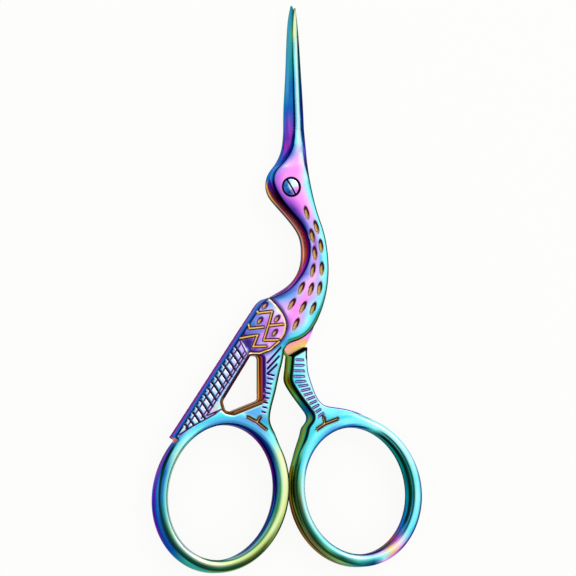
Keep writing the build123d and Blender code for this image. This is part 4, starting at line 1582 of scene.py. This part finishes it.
# %% Node helpers
def node_after(tree, kind, **inputs):
    """A new node with some inputs set or linked, by name."""
    node = tree.nodes.new(kind)
    for name, value in inputs.items():
        socket = node.inputs[name.replace("_", " ")]
        if hasattr(value, "links"):
            tree.links.new(value, socket)
        else:
            socket.default_value = value
    return node


def math_node(tree, operation, first, second):
    node = tree.nodes.new("ShaderNodeMath")
    node.operation = operation
    for socket, value in zip(node.inputs, (first, second)):
        if hasattr(value, "links"):
            tree.links.new(value, socket)
        else:
            socket.default_value = value
    return node.outputs[0]


def calculator(tree):
    """A short way to write the sums of one tree: calc("ADD", a, b)."""
    return lambda operation, first, second: math_node(tree, operation, first, second)


# %% Sizes of the screw
shank_overlap = 0.02
slot_length = 5.0
head_rings = 14
rim_power = 24.0
rim_drop = 0.1


screw_sizes = {
    "Head radius": 1.7, "Head height": 0.82, "Head base": 4.08, "Dome": 0.13, "Shank radius": 1.09,
    "Slot width": 0.36, "Slot depth": 0.45, "Slot angle": 122.0,
}


# %% Screw tree
def domed_head(tree, sizes, calc):
    head = node_after(tree, "GeometryNodeMeshCylinder", Vertices=72, Radius=sizes["Head radius"],
                      Depth=sizes["Head height"])
    head.inputs["Fill Segments"].default_value = head_rings
    place = tree.nodes.new("GeometryNodeInputPosition").outputs[0]
    parts = node_after(tree, "ShaderNodeSeparateXYZ", Vector=place).outputs
    reach = calc("POWER", calc("ADD", calc("POWER", parts[0], 2.0), calc("POWER", parts[1], 2.0)), 0.5)
    share = calc("DIVIDE", reach, sizes["Head radius"])
    bulge = calc("SUBTRACT", 1.0, calc("POWER", share, 2.0))
    rim = calc("MULTIPLY", calc("POWER", share, rim_power), rim_drop)
    rise = calc("SUBTRACT", calc("MULTIPLY", bulge, sizes["Dome"]), rim)
    rise = calc("MULTIPLY", rise, calc("GREATER_THAN", parts[2], 0.0))
    half = calc("MULTIPLY", sizes["Head height"], 0.5)
    lift = calc("ADD", rise, calc("ADD", sizes["Head base"], half))
    offset = node_after(tree, "ShaderNodeCombineXYZ", Z=lift).outputs[0]
    return node_after(tree, "GeometryNodeSetPosition", Geometry=head.outputs["Mesh"], Offset=offset)


def sawn_slot(tree, sizes, calc):
    """The box that is cut out of the head."""
    top = calc("ADD", sizes["Head base"], sizes["Head height"])
    reach_down = calc("MULTIPLY", sizes["Slot depth"], 2.0)
    size = node_after(tree, "ShaderNodeCombineXYZ", X=slot_length, Y=sizes["Slot width"], Z=reach_down)
    slot = node_after(tree, "GeometryNodeMeshCube", Size=size.outputs[0])
    turn = calc("MULTIPLY", sizes["Slot angle"], math.pi / 180)
    return node_after(
        tree, "GeometryNodeTransform", Geometry=slot.outputs["Mesh"],
        Translation=node_after(tree, "ShaderNodeCombineXYZ", Z=top).outputs[0],
        Rotation=node_after(tree, "ShaderNodeCombineXYZ", Z=turn).outputs[0],
    )


def plain_shank(tree, sizes, calc):
    height = calc("ADD", sizes["Head base"], shank_overlap)
    shank = node_after(tree, "GeometryNodeMeshCylinder", Vertices=64, Radius=sizes["Shank radius"],
                       Depth=height)
    place = node_after(tree, "ShaderNodeCombineXYZ", Z=calc("MULTIPLY", height, 0.5)).outputs[0]
    return node_after(tree, "GeometryNodeTransform", Geometry=shank.outputs["Mesh"], Translation=place)


def screw_tree(material):
    tree = bpy.data.node_groups.new("slotted screw", "GeometryNodeTree")
    tree.interface.new_socket("Geometry", in_out="OUTPUT", socket_type="NodeSocketGeometry")
    for name, size in screw_sizes.items():
        socket = tree.interface.new_socket(name, in_out="INPUT", socket_type="NodeSocketFloat")
        socket.default_value = size
    sizes = tree.nodes.new("NodeGroupInput").outputs
    calc = calculator(tree)
    cut = tree.nodes.new("GeometryNodeMeshBoolean")
    cut.operation = "DIFFERENCE"
    tree.links.new(domed_head(tree, sizes, calc).outputs[0], cut.inputs["Mesh 1"])
    tree.links.new(sawn_slot(tree, sizes, calc).outputs[0], cut.inputs["Mesh 2"])
    both = tree.nodes.new("GeometryNodeJoinGeometry")
    tree.links.new(cut.outputs["Mesh"], both.inputs[0])
    tree.links.new(plain_shank(tree, sizes, calc).outputs[0], both.inputs[0])
    scaled = node_after(tree, "GeometryNodeTransform", Geometry=both.outputs[0], Scale=(MM, MM, MM))
    whole = node_after(tree, "GeometryNodeRealizeInstances", Geometry=scaled.outputs[0])
    painted = node_after(tree, "GeometryNodeSetMaterial", Geometry=whole.outputs[0], Material=material)
    end = tree.nodes.new("NodeGroupOutput")
    tree.links.new(painted.outputs[0], end.inputs[0])
    return tree


# %% A tree's result as a mesh
def baked(name, tree, sizes):
    """An object with the tree's result as its own plain mesh."""
    obj = bpy.data.objects.new(name, bpy.data.meshes.new(name))
    bpy.context.scene.collection.objects.link(obj)
    modifier = obj.modifiers.new("shape", "NODES")
    modifier.node_group = tree
    for item in tree.interface.items_tree:
        if item.in_out == "INPUT" and item.name in sizes:
            modifier[item.identifier] = sizes[item.name]
    view = bpy.context.evaluated_depsgraph_get()
    mesh = bpy.data.meshes.new_from_object(obj.evaluated_get(view), depsgraph=view)
    obj.modifiers.remove(modifier)
    obj.data = mesh
    return obj


# %% [markdown]
# The finish: the coating is metal, so its paint is the metal's own reflection. That paint already holds
# painted highlights and painted shade. A shared group adds what a real coating has on top of the paint:
# slow drifts in thickness, a fine grain, faint polishing scratches and roughness that isn't the same
# everywhere.

# %% Finish group
drift_scale = 420.0
grain_scale = 5200.0
scratch_scales = (900.0, 12000.0, 900.0)
scratch_turn = 0.9
hue_share = 0.12
edge_tint_share = 0.7
dent_distance = 0.00002


def film_group():
    tree = bpy.data.node_groups.new("film finish", "ShaderNodeTree")
    for name, kind, value in (
        ("Film", "NodeSocketColor", (1, 1, 1, 1)), ("Drift", "NodeSocketFloat", 0.5),
        ("Grain", "NodeSocketFloat", 0.5), ("Smoothness", "NodeSocketFloat", 0.2),
    ):
        socket = tree.interface.new_socket(name, in_out="INPUT", socket_type=kind)
        socket.default_value = value
    for name, kind in (
        ("Color", "NodeSocketColor"), ("Edge tint", "NodeSocketColor"),
        ("Roughness", "NodeSocketFloat"), ("Height", "NodeSocketFloat"),
    ):
        tree.interface.new_socket(name, in_out="OUTPUT", socket_type=kind)
    given = tree.nodes.new("NodeGroupInput").outputs
    calc = calculator(tree)
    place = tree.nodes.new("ShaderNodeTexCoord").outputs["Object"]
    drift = node_after(tree, "ShaderNodeTexNoise", Vector=place, Scale=drift_scale, Detail=3.0)
    grain = node_after(tree, "ShaderNodeTexNoise", Vector=place, Scale=grain_scale, Detail=2.0)
    stretch = tree.nodes.new("ShaderNodeMapping")
    stretch.inputs["Scale"].default_value = scratch_scales
    stretch.inputs["Rotation"].default_value = (0, 0, scratch_turn)
    tree.links.new(place, stretch.inputs["Vector"])
    scratch = node_after(tree, "ShaderNodeTexNoise", Vector=stretch.outputs[0], Scale=1.0, Detail=4.0)
    hue = calc("MULTIPLY", calc("SUBTRACT", drift.outputs[0], 0.5), given["Drift"])
    value = calc("MULTIPLY", calc("SUBTRACT", grain.outputs[0], 0.5), given["Grain"])
    shift = tree.nodes.new("ShaderNodeHueSaturation")
    tree.links.new(given["Film"], shift.inputs["Color"])
    tree.links.new(calc("ADD", calc("MULTIPLY", hue, hue_share), 0.5), shift.inputs["Hue"])
    tree.links.new(calc("ADD", value, 1.0), shift.inputs["Value"])
    rough = calc("MULTIPLY", calc("SUBTRACT", scratch.outputs[0], 0.5), 0.12)
    patches = calc("MULTIPLY", calc("SUBTRACT", drift.outputs[0], 0.5), 0.1)
    rough = calc("ADD", rough, calc("ADD", given["Smoothness"], patches))
    height = calc("ADD", calc("MULTIPLY", scratch.outputs[0], 0.4), grain.outputs[0])
    tint = tree.nodes.new("ShaderNodeMixRGB")
    tint.inputs["Fac"].default_value = edge_tint_share
    tint.inputs["Color1"].default_value = (1, 1, 1, 1)
    tree.links.new(shift.outputs["Color"], tint.inputs["Color2"])
    end = tree.nodes.new("NodeGroupOutput")
    tree.links.new(shift.outputs["Color"], end.inputs["Color"])
    tree.links.new(tint.outputs["Color"], end.inputs["Edge tint"])
    tree.links.new(rough, end.inputs["Roughness"])
    tree.links.new(height, end.inputs["Height"])
    return tree


# %% Coated steel
finish_group = film_group()


def coated_steel(name, drift, grain, smoothness, bump):
    """Metal with the mesh's paint as its colour, painted highlights and painted shade included."""
    material = bpy.data.materials.new(name)
    material.use_nodes = True
    tree = material.node_tree
    shader = tree.nodes["Principled BSDF"]
    shader.inputs["Metallic"].default_value = 1.0
    film_and_light = tree.nodes.new("ShaderNodeAttribute")
    film_and_light.attribute_name = "film_and_light"
    finish = tree.nodes.new("ShaderNodeGroup")
    finish.node_tree = finish_group
    finish.inputs["Drift"].default_value = drift
    finish.inputs["Grain"].default_value = grain
    finish.inputs["Smoothness"].default_value = smoothness
    tree.links.new(film_and_light.outputs["Color"], finish.inputs["Film"])
    tree.links.new(finish.outputs["Color"], shader.inputs["Base Color"])
    tree.links.new(finish.outputs["Edge tint"], shader.inputs["Specular Tint"])
    tree.links.new(finish.outputs["Roughness"], shader.inputs["Roughness"])
    dent = tree.nodes.new("ShaderNodeBump")
    dent.inputs["Strength"].default_value = bump
    dent.inputs["Distance"].default_value = dent_distance
    tree.links.new(finish.outputs["Height"], dent.inputs["Height"])
    tree.links.new(dent.outputs["Normal"], shader.inputs["Normal"])
    return material


forged = coated_steel("rainbow coated forging", 0.35, 0.25, 0.26, 0.25)
turned = coated_steel("rainbow coated screw", 0.2, 0.2, 0.2, 0.2)
front_half.data.materials.append(forged)
back_half.data.materials.append(forged)

# %% [markdown]
# The screw's paint is placed freely too; its white and ice spots are painted highlights. What lies between
# 0.2 and 4.8 millimetres above the table is in shade and is painted black as shade: the floor of the slot,
# the side of the head and the shank.

# %% Screw
screw_paint_sharpness = 5.0
screw_dark_range = (0.2, 4.8)
screw_paint = [
    (-1.1, 0.3, "blue"), (-0.75, -0.5, "blue"), (-0.4, -1.1, "navy"), (0.1, -1.4, "iris"),
    (-0.85, 0.95, "bright blue"), (-0.5, 1.25, "lilac"), (-0.35, 0.35, "white"), (-0.1, -0.25, "white"),
    (0.15, -0.8, "periwinkle"), (0.5, -0.75, "pink"), (0.9, -0.3, "pink"), (1.15, -0.75, "orchid"),
    (0.4, 0.2, "white"), (0.3, 0.8, "white"), (0.7, 1.1, "white"), (1.0, 0.45, "ice"),
    (1.5, 0.1, "rose"), (0.1, 1.4, "sky"), (0.85, -1.1, "pink"),
]
pivot_screw = baked("pivot_screw_turned", screw_tree(turned), screw_sizes)
screw_vertices = np.array([v.co for v in pivot_screw.data.vertices]) / MM
screw_colour = from_places(screw_paint, screw_vertices[:, :2], screw_paint_sharpness)
dark_low, dark_high = screw_dark_range
screw_dark = (screw_vertices[:, 2] < dark_high) & (screw_vertices[:, 2] > dark_low)
screw_colour = np.where(screw_dark[:, None], PAINT["black"], screw_colour)
store_film_and_light(pivot_screw, screw_colour)
pivot_screw.data.set_sharp_from_angle(angle=math.radians(35))
print("screw", len(screw_vertices), "vertices")

# %% [markdown]
# Each piece rides on its body and takes the place of its CAD solid. The screw is fixed in the back half,
# so it rides on that body.

# %% Bodies
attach(front_half, "front")
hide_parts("front_half")
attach(back_half, "back")
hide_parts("back_half")
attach(pivot_screw, "back")
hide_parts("pivot_screw")

# %% [markdown]
# The photo shows a plain, nearly white surface. The table top looks that way to the camera and in
# reflections, and a white sky and one softbox from the upper right light the metal.

# %% Floor and light
glow_share = 0.93
bpy.ops.mesh.primitive_plane_add(size=4, location=(0, 0, -0.0002))
floor = bpy.context.object
floor.name = "table top"
floor_paint = bpy.data.materials.new("pale table")
floor_paint.use_nodes = True
floor_tree = floor_paint.node_tree
floor_shader = floor_tree.nodes["Principled BSDF"]
floor_shader.inputs["Base Color"].default_value = (0.9, 0.9, 0.89, 1)
floor_shader.inputs["Roughness"].default_value = 0.8
paths = floor_tree.nodes.new("ShaderNodeLightPath").outputs
seen = math_node(floor_tree, "MAXIMUM", paths["Is Camera Ray"], paths["Is Glossy Ray"])
seen = math_node(floor_tree, "MAXIMUM", seen, paths["Is Transmission Ray"])
glow = floor_tree.nodes.new("ShaderNodeEmission")
glow.inputs["Color"].default_value = (0.985, 0.985, 0.975, 1)
lift = floor_tree.nodes.new("ShaderNodeMixShader")
floor_tree.links.new(math_node(floor_tree, "MULTIPLY", seen, glow_share), lift.inputs[0])
floor_tree.links.new(floor_shader.outputs[0], lift.inputs[1])
floor_tree.links.new(glow.outputs[0], lift.inputs[2])
floor_tree.links.new(lift.outputs[0], floor_tree.nodes["Material Output"].inputs["Surface"])
floor.data.materials.append(floor_paint)

scene = bpy.context.scene
scene.view_settings.view_transform = "Standard"
world = bpy.data.worlds.new("studio")
scene.world = world
world.use_nodes = True
world.node_tree.nodes["Background"].inputs["Color"].default_value = (1, 1, 1, 1)
world.node_tree.nodes["Background"].inputs["Strength"].default_value = 1.0


def softbox(name, place, aim, size, power):
    data = bpy.data.lights.new(name, "AREA")
    data.shape = "RECTANGLE"
    data.size = size[0]
    data.size_y = size[1]
    data.energy = power
    lamp = bpy.data.objects.new(name, data)
    scene.collection.objects.link(lamp)
    lamp.location = place
    lamp.rotation_mode = "QUATERNION"
    lamp.rotation_quaternion = (Vector(aim) - Vector(place)).to_track_quat("-Z", "Y")
    return lamp


softbox("upper right softbox", (0.35, 0.3, 0.45), (0, -0.02, 0), (0.3, 0.3), 0.8)

# %% [markdown]
# The camera stands 21 degrees to the left of straight above and 4 degrees towards the handles, far away
# and with a long lens. The size of a pixel and the pivot's place in the photo give its aim.

# %% Camera
view_lean = math.radians(21)
view_dip = math.radians(-4)
pixel = 0.2033
image_pixels = 576
look_back = np.array([
    -math.sin(view_lean) * math.cos(view_dip), math.sin(view_dip), math.cos(view_lean) * math.cos(view_dip),
])
screen_right = np.array([math.cos(view_lean), 0, math.sin(view_lean)])
screen_up = np.cross(look_back, screen_right)
photo_origin = (287.1, 187.8)
aim = np.array([0, 0, full_thickness / 2])
aim = aim + screen_right * (image_pixels / 2 - photo_origin[0]) * pixel
aim = aim - screen_up * (image_pixels / 2 - photo_origin[1]) * pixel
camera_distance = 1500.0
sensor = 36.0
camera_data = bpy.data.cameras.new("camera")
camera_data.sensor_width = sensor
camera_data.lens = sensor * camera_distance / (image_pixels * pixel)
camera_data.clip_start = 0.01
camera_data.clip_end = 20
camera = bpy.data.objects.new("camera", camera_data)
scene.collection.objects.link(camera)
camera.location = (aim + look_back * camera_distance) * MM
camera.rotation_mode = "QUATERNION"
turn = Matrix([screen_right, screen_up, look_back]).transposed()
camera.rotation_quaternion = turn.to_quaternion()
scene.camera = camera
